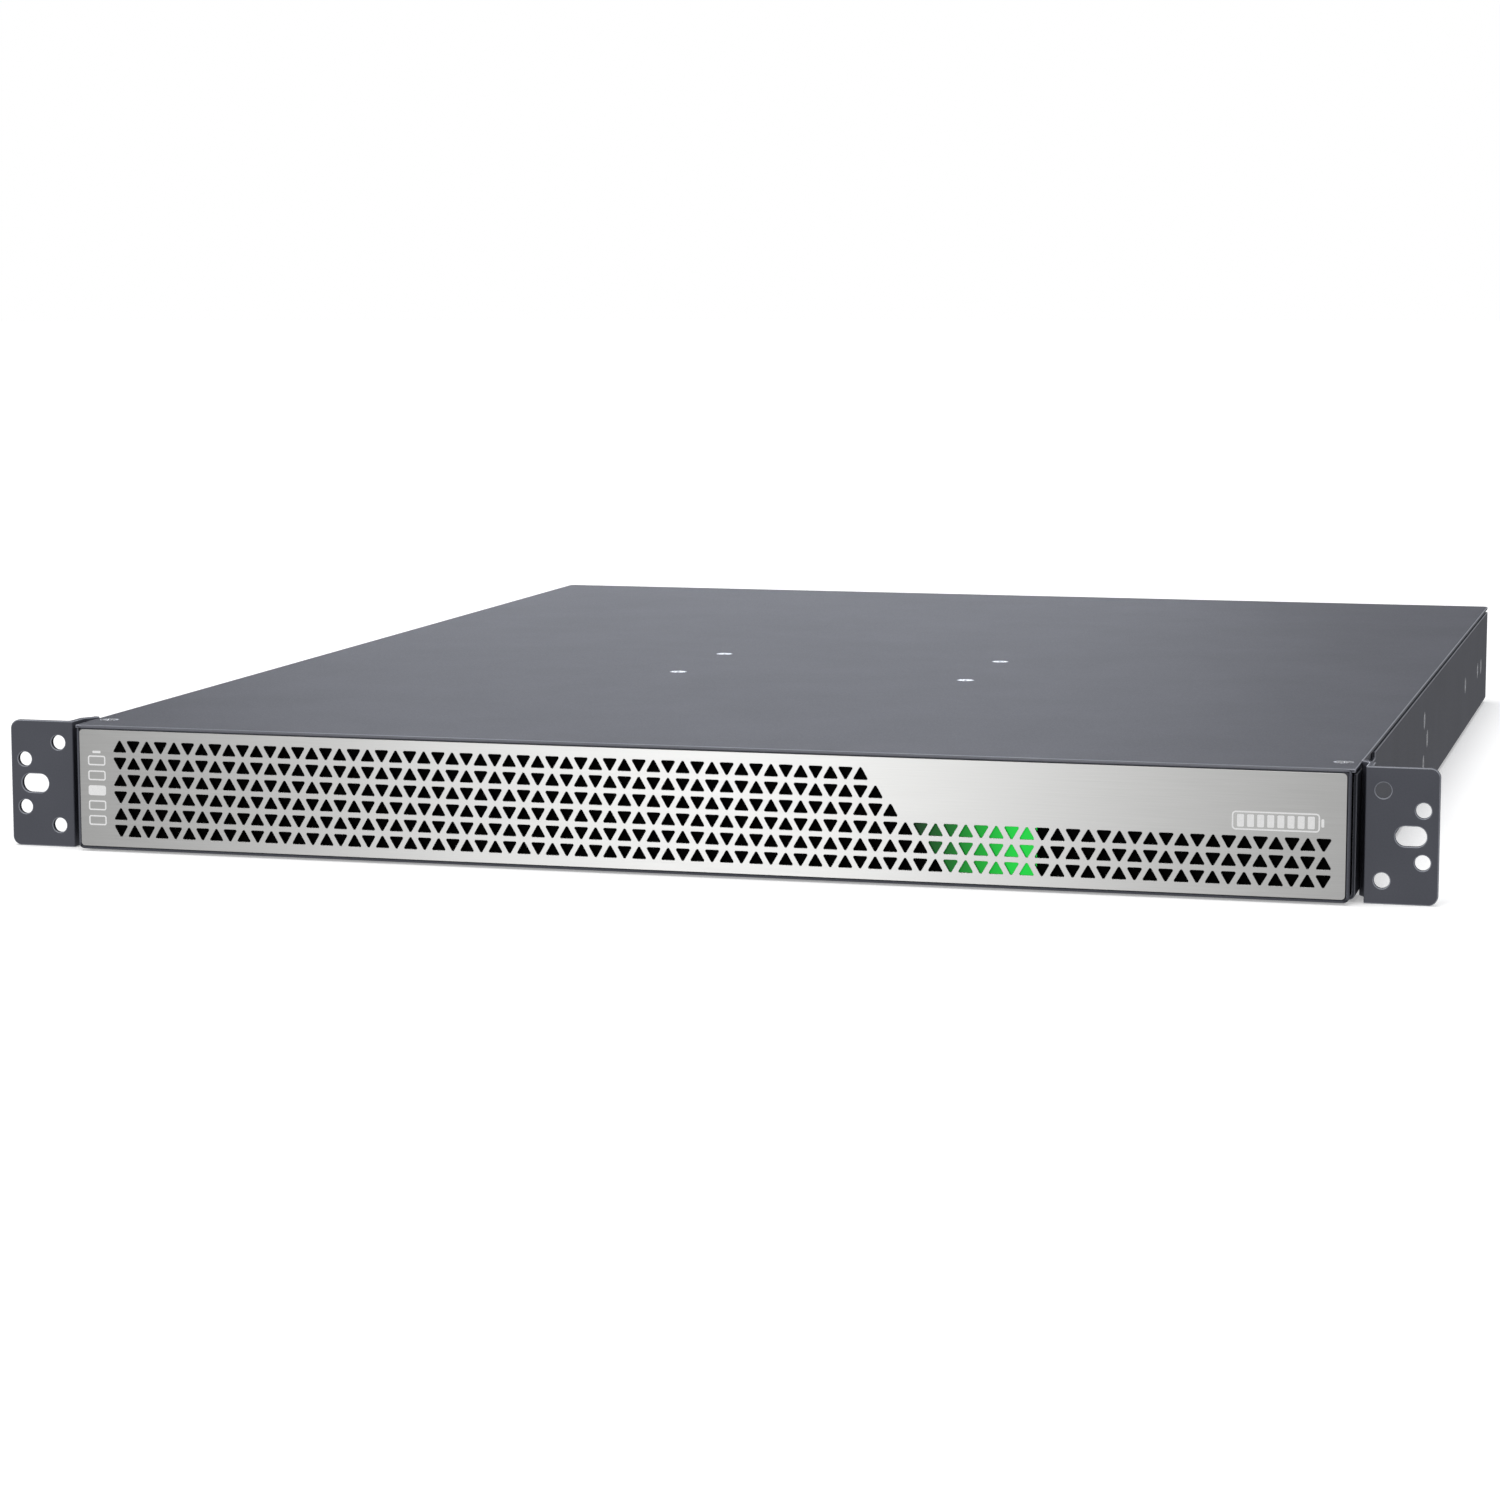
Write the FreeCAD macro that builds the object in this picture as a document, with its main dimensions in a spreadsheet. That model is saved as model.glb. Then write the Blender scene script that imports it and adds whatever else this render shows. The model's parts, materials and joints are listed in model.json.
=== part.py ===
import FreeCAD, Part
import math
import os
import re
import Sketcher

# 1U rack-mounted lithium-ion battery pack for a 19 inch cabinet.
# X runs to the right seen from the front, Y from the ears into the cabinet, Z up.
# The origin is the centre of the rack ears' front face. Sizes are in millimetres.

Vector = FreeCAD.Vector
Rotation = FreeCAD.Rotation
Placement = FreeCAD.Placement

DIMENSIONS = {
    # rack ears: bent steel brackets, punched for the cabinet's square-hole rails
    "ear_span": 482.6, "ear_height": 43.2, "ear_sheet": 2.0, "ear_corner": 3.1,
    "ear_inner": 218.3, "ear_front_edge": 0.5, "ear_bend": 1.0,
    "ear_return": 10, "ear_joggle": 4, "ear_joggle_shift": 0.63,
    "ear_flange_depth": 38, "ear_flange_height": 32,
    "rack_slot_offset": 232.55, "rack_slot_length": 9.8, "rack_slot_height": 6.4,
    "inner_hole_offset": 223.8, "inner_hole_rise": 14.2, "inner_hole_bore": 5.0,
    "outer_hole_offset": 236.3, "outer_hole_rise": 8.2, "outer_hole_bore": 4.9,
    # sheet-metal case
    "case_width": 431, "case_depth": 552, "case_height": 42.2, "case_sheet": 1.2,
    "case_bend": 2.0, "tray_front": 2.0, "cover_overhang": 3.8, "cover_gap": 1.1,
    "cover_corner": 2.2, "cover_lip": 5.0, "cover_lip_inset": 1.4,
    "relief_front": 26, "relief_back": 57, "relief_floor": 16.6,
    "tab_width": 16, "tab_height": 7.6,
    # front and rear panels
    "front_panel_face": 8.0, "front_flange_depth": 12, "front_window_count": 8,
    "front_window_pitch": 48, "front_window_width": 40, "front_window_height": 26,
    "rear_flange_depth": 11, "rear_side_flange": 41, "corner_clearance": 0.9,
    "vent_slot_count": 9, "vent_slot_pitch": 6.5, "vent_slot_width": 3.2,
    "vent_slot_height": 26, "vent_slot_start": -92,
    # screws
    "screw_radius": 1.5, "screw_head": 2.9, "screw_cone": 1.2, "screw_length": 6.0,
    "sink_radius": 3.0, "sink_hole": 1.85, "pan_head": 2.8, "pan_head_height": 1.8,
    "cover_screw_length": 3.4, "cover_screw_across": 210, "cover_screw_back": 12,
    # pull-off front bezel
    "bezel_width": 429, "bezel_height": 42.1, "bezel_reach": 5.5, "bezel_rim": 1.4,
    "bezel_corner": 2.0, "bezel_chamfer": 0.5, "skirt_back": 6.0, "skirt_width": 425.6,
    "skirt_height": 38.8, "skirt_wall": 1.6, "bezel_floor_front": 4.6,
    "bezel_floor_back": 3.1, "plate_recess_margin": 0.25,
    "plate_width": 426.4, "plate_height": 39.7, "plate_sheet": 1.2, "plate_corner": 1.2,
    # triangular perforations of the faceplate
    "vent_pitch": 4.937, "vent_row_pitch": 5.75, "vent_side": 5.2, "vent_corner": 0.45,
    "vent_first": -198.5, "vent_row_count": 6, "vent_column_count": 83, "vent_step_column": 53,
    # foam filter, light guide and snap sockets behind the faceplate
    "grille_left": -202.5, "grille_right": 210.0, "grille_half_height": 17.4,
    "grille_step_top": 0.6, "grille_step_low": 70.5, "grille_step_high": 62.0,
    "filter_margin": 0.35, "filter_depth": 4.0, "guide_top": 0.2, "guide_bottom": -17.2,
    "guide_top_left": 73.2, "guide_bottom_left": 88.0, "guide_right": 115.0,
    "guide_front": 4.5, "guide_back": 0.4, "guide_gap": 0.3,
    "ball_radius": 2.5, "ball_neck": 1.2, "ball_centre": 3.9, "ball_across": 180,
    "ball_rise": 14.6, "socket_bore": 2.8, "socket_width": 9, "socket_height": 7.0,
    "socket_front": 1.4,
    # status light board
    "led_board_left": 70, "led_board_right": 118, "led_board_low": -16.5,
    "led_board_high": -1.0, "led_board_face": 2.8, "board_sheet": 1.6,
    "led_post_radius": 2.2, "led_size": 3.0, "led_height": 1.5, "led_count": 6, "led_pitch": 5.6,
    # battery modules
    "cell_radius": 9.2, "cell_length": 65, "cell_tip_radius": 3.5, "cell_tip": 0.8,
    "cell_pitch": 18.8, "cell_layer": 18.6, "cell_rows": 7, "film": 0.3,
    "module_length": 136, "module_width": 136, "module_height": 37.4, "module_pitch": 138.5,
    "module_front": 62, "module_bank_pitch": 216, "holder_wall": 1.6, "holder_window": 6.5,
    "busbar_sheet": 0.3, "strip_margin": 2.0, "strip_overlap": 7.5,
    # copper bars between the modules
    "link_length": 64, "link_sheet": 1.2, "link_low": 3, "link_high": 15,
    "bank_link_height": 12, "bank_link_overlap": 10,
    # brace between the two banks of modules
    "brace_face": 231, "brace_flange_depth": 27, "brace_flange_height": 28,
    "brace_clearance": 0.3, "door_inner": 204, "door_outer": 210.5, "door_low": -8.5,
    "door_high": 12, "brace_window_pitch": 130, "brace_window_width": 60,
    "brace_window_height": 24, "film_width": 412,
    "stiffener_corner": 4, "stiffener_left": -76, "stiffener_right": 62, "stiffener_front": 198.6,
    "stiffener_back": 277, "stiffener_hole_left": -62.7, "stiffener_hole_right": 48.7,
    "stiffener_hole_front": 204.6, "stiffener_hole_back": 270.9,
    # power board
    "board_front": 426, "board_back": 514, "board_half_width": 211, "board_low": -8.8,
    "shelf_front": 422, "shelf_back": 506, "shelf_width": 11, "shelf_top": 6,
    "sink_left": -40, "sink_right": 100, "sink_front": 442, "sink_back": 490, "sink_base": 4,
    "fin_count": 24, "fin_pitch": 6, "fin_sheet": 1.6, "fin_top": 15,
    "fet_count": 6, "fet_left": -32, "fet_width": 12, "fet_pitch": 21, "fet_front": 448,
    "fet_depth": 15, "fet_row_pitch": 20, "fet_height": 4.5,
    "capacitor_count": 3, "capacitor_radius": 8, "capacitor_height": 22,
    "capacitor_across": -60, "capacitor_pitch": 19, "capacitor_along": 455,
    "capacitor_row_pitch": 22,
    "contactor_left": -184, "contactor_right": -132, "contactor_front": 440,
    "contactor_back": 482, "contactor_height": 24, "contactor_groove": 18,
    "fuse_left": 116, "fuse_right": 184, "fuse_along": 466, "fuse_rise": 11, "fuse_radius": 8,
    "fuse_blade_reach": 12, "fuse_blade_width": 12, "fuse_blade_sheet": 3,
    "feed_across": 175, "feed_width": 20, "feed_back": 438, "feed_top": 12, "bar_sheet": 2,
    "output_width": 10, "output_front": 496,
    # flat cable from the light board
    "cable_start": 88, "cable_turn": 30, "cable_bend": 6, "cable_sheet": 0.8,
    "cable_low": -7, "cable_high": -1,
    # rear connections
    "power_one": 171, "power_two": 111, "power_rise": -3.5, "power_width": 46,
    "power_height": 20, "power_front": 528, "power_back": 558, "power_flange_width": 58,
    "power_flange_height": 25, "power_flange": 2.0, "power_cavity_width": 17,
    "power_cavity_height": 14, "power_cavity_depth": 22, "power_cavity_offset": 10.5,
    "power_key": 6, "power_key_depth": 8, "blade_width": 12, "blade_sheet": 3.0,
    "port_one": 2, "port_two": -20, "port_rise": -4, "port_width": 17, "port_height": 14.4,
    "port_front": 534, "port_back": 552.4, "port_cavity_width": 12.2,
    "port_cavity_height": 7.4, "port_cavity_depth": 13, "port_key": 6, "port_latch": 3.2,
    "port_wire_count": 8, "port_wire_pitch": 1.2, "port_wire": 0.5,
    "breaker_across": 68, "breaker_width": 20, "breaker_height": 32, "breaker_front": 526,
    "breaker_flange": 1.6, "breaker_rim": 1.6, "slot_inner": 9.2, "slot_outer": 15.2,
    "breaker_pivot": 546.5, "drum_radius": 5.0, "drum_gap": 0.4,
    "toggle_width": 6.0, "toggle_tip": 0.76, "toggle_reach": 15.0, "toggle_thick": 4.4, "toggle_tilt": 20,
    "button_across": 44, "button_rise": -6, "button_radius": 3.4, "button_gap": 0.2,
    "button_inner": 546, "button_outer": 555, "button_crown": 0.6, "bush_radius": 5.0, "bush_front": 536,
    "bush_nut": 7.2, "bush_nut_height": 2.6,
    "stud_across": 206, "stud_rise": -9, "stud_radius": 2.0, "stud_length": 9,
    "nut_across_flats": 7.0, "nut_height": 3.2,
    # fans
    "fan_one": -136, "fan_two": -182, "fan_size": 38, "fan_depth": 28, "fan_bore": 17.6,
    "fan_hub": 9.5, "fan_tip": 16.8, "fan_blades": 7, "fan_shaft": 1.5, "fan_bearing": 3.2,
    "fan_hole_pitch": 16, "fan_panel_hole": 17.2, "fan_strut": 2.4,
    "fan_blade_chord": 17, "fan_blade_sheet": 1.2, "fan_blade_angle": 52,
    "guard_wire": 0.8, "guard_ring_count": 3, "guard_ring_first": 6, "guard_ring_pitch": 5,
}

doc = FreeCAD.newDocument("server_rack_battery")
dims = doc.addObject("Spreadsheet::Sheet", "dims")
for row, (alias, size) in enumerate(DIMENSIONS.items(), start=1):
    dims.set(f"A{row}", alias)
    dims.set(f"B{row}", str(size))
    dims.setAlias(f"B{row}", alias)
doc.recompute()

SUB_PARTS = []


# ---------------------------------------------------------------- helpers

def cells(text):
    """Expression on the sheet: every word is a cell of dims."""
    return re.sub(r"[a-z][a-z_]+", lambda word: "dims." + word.group(), str(text))


def number(text):
    """Value in millimetres of an expression on the sheet."""
    return float(dims.evalExpression(cells(text)))


def bind(sketch, kind, geometry, point, text):
    """Distance of a point of the sketch from its origin, driven by the sheet."""
    constraint = Sketcher.Constraint(kind, -1, 1, geometry, point, number(text))
    index = sketch.addConstraint(constraint)
    sketch.setExpression(f"Constraints[{index}]", cells(text))


def polygon(sketch, *corners):
    """Closed outline whose corners are each held from the sketch's origin."""
    points = [Vector(number(across), number(up), 0) for across, up in corners]
    first = sketch.GeometryCount
    count = len(points)
    for index, point in enumerate(points):
        sketch.addGeometry(Part.LineSegment(point, points[(index + 1) % count]), False)
    for index, (across, up) in enumerate(corners):
        line = first + index
        before = first + (index - 1) % count
        sketch.addConstraint(Sketcher.Constraint("Coincident", before, 2, line, 1))
        bind(sketch, "DistanceX", line, 1, across)
        bind(sketch, "DistanceY", line, 1, up)


def rectangle(sketch, left, right, low, high):
    polygon(sketch, (left, low), (right, low), (right, high), (left, high))


def circle(sketch, across, up, radius):
    centre = Vector(number(across), number(up), 0)
    index = sketch.addGeometry(Part.Circle(centre, Vector(0, 0, 1), number(radius)), False)
    bind(sketch, "DistanceX", index, 3, across)
    bind(sketch, "DistanceY", index, 3, up)
    constraint = sketch.addConstraint(Sketcher.Constraint("Radius", index, number(radius)))
    sketch.setExpression(f"Constraints[{constraint}]", cells(radius))


def obround(sketch, across, up, length, height, upright=False):
    """Round-ended slot: two lines and two half circles that run into each other."""
    radius = number(height) / 2
    reach = number(length) / 2 - radius
    along = Vector(0, 1, 0) if upright else Vector(1, 0, 0)
    side = Vector(-along.y, along.x, 0)
    centre = Vector(number(across), number(up), 0)
    turn = math.pi / 2 if upright else 0
    ends = [centre + along * reach, centre - along * reach]
    first = sketch.GeometryCount
    for index, end in enumerate(ends):
        start = turn - math.pi / 2 + index * math.pi
        ring = Part.Circle(end, Vector(0, 0, 1), radius)
        sketch.addGeometry(Part.ArcOfCircle(ring, start, start + math.pi), False)
    sketch.addGeometry(Part.LineSegment(ends[0] + side * radius, ends[1] + side * radius), False)
    sketch.addGeometry(Part.LineSegment(ends[1] - side * radius, ends[0] - side * radius), False)
    for arc, arc_point, line, line_point in ((0, 2, 2, 1), (1, 1, 2, 2), (1, 2, 3, 1), (0, 1, 3, 2)):
        joint = Sketcher.Constraint("Tangent", first + arc, arc_point, first + line, line_point)
        sketch.addConstraint(joint)
    for index, way in ((0, "+"), (1, "-")):
        shift = f"{way} ({length} - {height}) / 2"
        bind(sketch, "DistanceX", first + index, 3, str(across) if upright else f"{across} {shift}")
        bind(sketch, "DistanceY", first + index, 3, f"{up} {shift}" if upright else str(up))
    size = sketch.addConstraint(Sketcher.Constraint("Radius", first, radius))
    sketch.setExpression(f"Constraints[{size}]", cells(f"({height}) / 2"))


def draw(body, name, plane, position, outlines):
    """Sketch on one of the body's own origin planes, moved along the plane's axis."""
    sketch = body.newObject("Sketcher::SketchObject", name)
    origin = body.Origin.OriginFeatures
    support = next(item for item in origin if item.Role == plane + "_Plane")
    sketch.AttachmentSupport = [(support, "")]
    sketch.MapMode = "FlatFace"
    facing = -1 if plane == "XZ" else 1
    sketch.setExpression("AttachmentOffset.Base.z", cells(f"{facing} * ({position})"))
    for shape, *sizes in outlines:
        shape(sketch, *sizes)
    return sketch


def pad(body, name, plane, low, high, *outlines):
    """Adds the outlines from low to high along the plane's axis."""
    start = high if plane == "XZ" else low
    sketch = draw(body, name + "_sketch", plane, start, outlines)
    feature = body.newObject("PartDesign::Pad", name)
    feature.Profile = sketch
    feature.setExpression("Length", cells(f"({high}) - ({low})"))
    return feature


def pocket(body, name, plane, low, high, *outlines):
    """Removes the outlines from low to high, and checks that material went."""
    doc.recompute()
    before = body.Shape.Volume
    start = low if plane == "XZ" else high
    sketch = draw(body, name + "_sketch", plane, start, outlines)
    feature = body.newObject("PartDesign::Pocket", name)
    feature.Profile = sketch
    feature.setExpression("Length", cells(f"({high}) - ({low})"))
    doc.recompute()
    if body.Shape.Volume > before - 0.01:
        raise RuntimeError(f"{name} removes nothing from {body.Name}")
    return feature


def dress(body, kind, name, size_name, size, wanted):
    """Fillet or chamfer on the edges of the body that wanted() picks."""
    doc.recompute()
    base = body.Tip
    edges = enumerate(base.Shape.Edges, start=1)
    picked = [f"Edge{index}" for index, edge in edges if wanted(edge)]
    if not picked:
        raise RuntimeError(f"{name} finds no edge on {body.Name}")
    feature = body.newObject(kind, name)
    feature.Base = (base, picked)
    feature.setExpression(size_name, cells(size))
    return feature


def runs_along(edge, axis, **places):
    """True for a straight edge along the axis whose other coordinates are as given."""
    box = edge.BoundBox
    lows = {"x": box.XMin, "y": box.YMin, "z": box.ZMin}
    highs = {"x": box.XMax, "y": box.YMax, "z": box.ZMax}
    thin = all(highs[a] - lows[a] < 1e-3 for a in "xyz" if a != axis)
    placed = all(min(abs(lows[a] - value) for value in values) < 1e-3 for a, values in places.items())
    return thin and placed and highs[axis] - lows[axis] > 1e-3


def new_body(name):
    return doc.addObject("PartDesign::Body", name)


def block(name, across, along, up):
    """Box between a low and a high expression on each axis."""
    item = doc.addObject("Part::Box", name)
    spans = zip(("Length", "Width", "Height"), "xyz", (across, along, up))
    for size, axis, (low, high) in spans:
        item.setExpression(size, cells(f"({high}) - ({low})"))
        item.setExpression(f"Placement.Base.{axis}", cells(low))
    return item


TURNS = {"x": Rotation(Vector(0, 1, 0), 90), "y": Rotation(Vector(1, 0, 0), -90), "z": Rotation()}


def rod(name, axis, radius, low, high, centre):
    """Cylinder along an axis; centre is its place on the two other axes."""
    item = doc.addObject("Part::Cylinder", name)
    item.Placement = Placement(Vector(), TURNS[axis])
    item.setExpression("Radius", cells(radius))
    item.setExpression("Height", cells(f"({high}) - ({low})"))
    others = [letter for letter in "xyz" if letter != axis]
    places = dict(zip(others, centre))
    places[axis] = low
    for letter, place in places.items():
        item.setExpression(f"Placement.Base.{letter}", cells(place))
    return item


def fuse(name, items):
    item = doc.addObject("Part::MultiFuse", name)
    item.Shapes = items
    item.Refine = True
    return item


def cut(name, base, tools):
    item = doc.addObject("Part::Cut", name)
    item.Base = base
    item.Tool = tools[0] if len(tools) == 1 else fuse(name + "_tools", tools)
    return item


def gather(name, items):
    """Separate solids kept side by side in one sub-part."""
    item = doc.addObject("Part::Compound", name)
    item.Links = items
    return item


def copies(name, master, placements):
    """One sub-part of equal solids, each a placed copy of the master."""
    doc.recompute()
    solids = []
    for placement in placements:
        solid = master.Shape.copy()
        solid.Placement = placement
        solids.append(solid)
    item = doc.addObject("Part::Feature", name)
    item.Shape = Part.makeCompound(solids)
    item.Placement = Placement()
    return item


def sub_part(item, label):
    """Marks an object as a piece of the pack; the label names its file."""
    item.Label = label
    SUB_PARTS.append(item)
    return item


# expressions that several pieces share
WALL = "case_width / 2"
WALL_INSIDE = "case_width / 2 - case_sheet"
FLOOR = "-case_height / 2"
FLOOR_TOP = "case_sheet - case_height / 2"
COVER_TOP = "case_height / 2"
COVER_UNDER = "case_height / 2 - case_sheet"
WALL_TOP = "case_height / 2 - case_sheet - cover_gap"
REAR_OUTSIDE = "case_depth - case_sheet"
REAR_INSIDE = "case_depth - 2 * case_sheet"
FRONT_INSIDE = "front_panel_face + case_sheet"
MODULE_FLOOR = "case_sheet - case_height / 2 + film"
BOARD_TOP = "board_low + board_sheet"
FLANGE_INSIDE = "case_width / 2 - 3 * case_sheet"
FLANGE_SCREW = "(power_flange_width / 2 - 3)"
POLES = (("plus", "+"), ("minus", "-"))

# countersunk side screws: place along Y and height
BRACE_SCREWS = ((238, 7.2), (251, -1.1), (237, -8.8))
SHELF_SCREWS = ((431, -1.1), (498, -2.0))
PANEL_SCREWS = ((517, -2.2),)
EAR_SCREWS = ((20, -10), (20, 10), (32, 0))
SIDE_SCREWS = BRACE_SCREWS + SHELF_SCREWS + PANEL_SCREWS
TAB_PLACES = (-108, 22, 190)
SIDES = {"left": -1, "right": 1}


# ---------------------------------------------------------------- screws

def screw(name, drive_floor, drive_half, *profile):
    """Screw pointing along -Z, turned from its profile, with a cross recess in its head."""
    body = new_body(name)
    outline = draw(body, name + "_profile", "XZ", 0, [(polygon, *profile)])
    turned = body.newObject("PartDesign::Revolution", name + "_turned")
    turned.Profile = outline
    turned.ReferenceAxis = (outline, ["V_Axis"])
    turned.Angle = 360
    for index, (wide, tall) in enumerate(((drive_half, 0.28), (0.28, drive_half))):
        pocket(body, f"{name}_drive_{index}", "XY", drive_floor, "pan_head_height + 1",
               (rectangle, -wide, wide, -tall, tall))
    return body


def countersunk_screw(name, length):
    """The flat head's face is at the origin."""
    return screw(name, -0.9, 1.7, (0, 0), ("screw_head", 0), ("screw_radius", "-screw_cone"),
                 ("screw_radius", f"-({length})"), (0, f"-({length})"))


def pan_screw(name):
    """The head stands above the origin, with its crown bevelled off."""
    return screw(name, 0.9, 1.6, (0, "pan_head_height"), ("pan_head - 1.1", "pan_head_height"),
                 ("pan_head - 0.25", "pan_head_height - 0.6"), ("pan_head", "pan_head_height - 1.2"),
                 ("pan_head", 0), ("screw_radius", 0), ("screw_radius", "-screw_length"),
                 (0, "-screw_length"))


side_screw = countersunk_screw("side_screw", "screw_length")
short_screw = countersunk_screw("short_screw", "cover_screw_length")
pan_head_screw = pan_screw("pan_head_screw")


def facing(point, direction):
    """Placement that turns a screw's head from +Z to the direction."""
    return Placement(point, Rotation(Vector(0, 0, 1), direction))


def side_places(spots, face):
    """Screw places on both side walls, for heads level with the face."""
    return [facing(Vector(way * number(face), along, up), Vector(way, 0, 0))
            for way in SIDES.values() for along, up in spots]


def side_sinks(name, spots, face, depth):
    """Cone cutters that make the countersinks of the same screws."""
    cutters = []
    for side, way in SIDES.items():
        for index, (along, up) in enumerate(spots):
            cone = doc.addObject("Part::Cone", f"{name}_{side}_{index}")
            cone.setExpression("Radius1", cells("sink_radius"))
            cone.setExpression("Radius2", cells("sink_hole"))
            cone.setExpression("Height", cells(depth))
            turn = Rotation(Vector(0, 0, 1), Vector(-way, 0, 0))
            cone.Placement = Placement(Vector(0, along, up), turn)
            cone.setExpression("Placement.Base.x", cells(f"{way} * ({face})"))
            cutters.append(cone)
    return cutters


def sheet_holes(name, spots, radius, low, high):
    """Straight hole cutters through an inner flange at the same places."""
    return [rod(f"{name}_{side}_{index}", "x", radius,
                f"{way} * ({low if way > 0 else high})", f"{way} * ({high if way > 0 else low})", spot)
            for side, way in SIDES.items() for index, spot in enumerate(spots)]


# ---------------------------------------------------------------- case

def chassis_tray():
    """Floor and side walls, folded from one sheet."""
    body = new_body("tray_body")
    pad(body, "tray_block", "XZ", "tray_front", REAR_OUTSIDE,
        (rectangle, f"-{WALL}", WALL, FLOOR, WALL_TOP))
    pocket(body, "tray_hollow", "XZ", "tray_front - 1", "case_depth",
           (rectangle, f"-({WALL_INSIDE})", WALL_INSIDE, FLOOR_TOP, f"{WALL_TOP} + 1"))
    outer = number(WALL)
    inner = number(WALL_INSIDE)
    dress(body, "PartDesign::Fillet", "tray_bend", "Radius", "case_bend",
          lambda edge: runs_along(edge, "y", x=(-outer, outer), z=(number(FLOOR),)))
    dress(body, "PartDesign::Fillet", "tray_inner_bend", "Radius", "case_bend - case_sheet",
          lambda edge: runs_along(edge, "y", x=(-inner, inner), z=(number(FLOOR_TOP),)))
    pocket(body, "tray_relief", "YZ", f"-{WALL} - 1", f"{WALL} + 1",
           (rectangle, "relief_front", "relief_back", "relief_floor", COVER_TOP))
    sinks = side_sinks("tray_sink", SIDE_SCREWS, WALL, "case_sheet + 0.01")
    ear_holes = sheet_holes("tray_ear_hole", EAR_SCREWS, "screw_radius",
                            WALL_INSIDE + " - 1", WALL + " + 1")
    sub_part(cut("tray", body, sinks + ear_holes), "chassis_tray")


def top_cover():
    """Flat lid with lips that slip inside the side walls and three rear tabs."""
    body = new_body("cover_body")
    pad(body, "cover_plate", "XY", COVER_UNDER, COVER_TOP,
        (rectangle, f"-{WALL}", WALL, "-cover_overhang", "case_depth"))
    edges = (-number(WALL), number(WALL))
    dress(body, "PartDesign::Fillet", "cover_corners", "Radius", "cover_corner",
          lambda edge: runs_along(edge, "z", x=edges, y=(number("case_depth"),)))
    lip_outside = "case_width / 2 - cover_lip_inset"
    for side, way in SIDES.items():
        pad(body, f"cover_lip_{side}", "XY", f"{COVER_UNDER} - cover_lip", COVER_UNDER,
            (rectangle, f"{way} * ({lip_outside} - case_sheet)", f"{way} * ({lip_outside})",
             f"{FRONT_INSIDE} + front_flange_depth + 2", "case_depth - rear_side_flange - 4"))
    for index, across in enumerate(TAB_PLACES):
        pad(body, f"cover_tab_{index}", "XY", f"{COVER_UNDER} - tab_height", COVER_UNDER,
            (rectangle, f"{across} - tab_width / 2", f"{across} + tab_width / 2",
             REAR_OUTSIDE, "case_depth"))
        pocket(body, f"cover_tab_hole_{index}", "XZ", f"{REAR_OUTSIDE} - 1", "case_depth + 1",
               (circle, across, f"{COVER_UNDER} - tab_height / 2", "sink_hole"))
    sinks = []
    for index, (across, along) in enumerate(cover_screw_places()):
        cone = doc.addObject("Part::Cone", f"cover_sink_{index}")
        cone.setExpression("Radius1", cells("sink_hole"))
        cone.setExpression("Radius2", cells("sink_radius"))
        cone.setExpression("Height", cells("case_sheet + 0.02"))
        cone.setExpression("Placement.Base.x", cells(across))
        cone.setExpression("Placement.Base.y", cells(along))
        cone.setExpression("Placement.Base.z", cells(f"{COVER_UNDER} - 0.01"))
        sinks.append(cone)
    sub_part(cut("cover", body, sinks), "top_cover")


def cover_screw_places():
    """Two screws near the front corners and four over the stiffener."""
    front = [("-cover_screw_across", "cover_screw_back"), ("cover_screw_across", "cover_screw_back")]
    centre = [(f"stiffener_hole_{side}", f"stiffener_hole_{end}")
              for side in ("left", "right") for end in ("front", "back")]
    return front + centre


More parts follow.
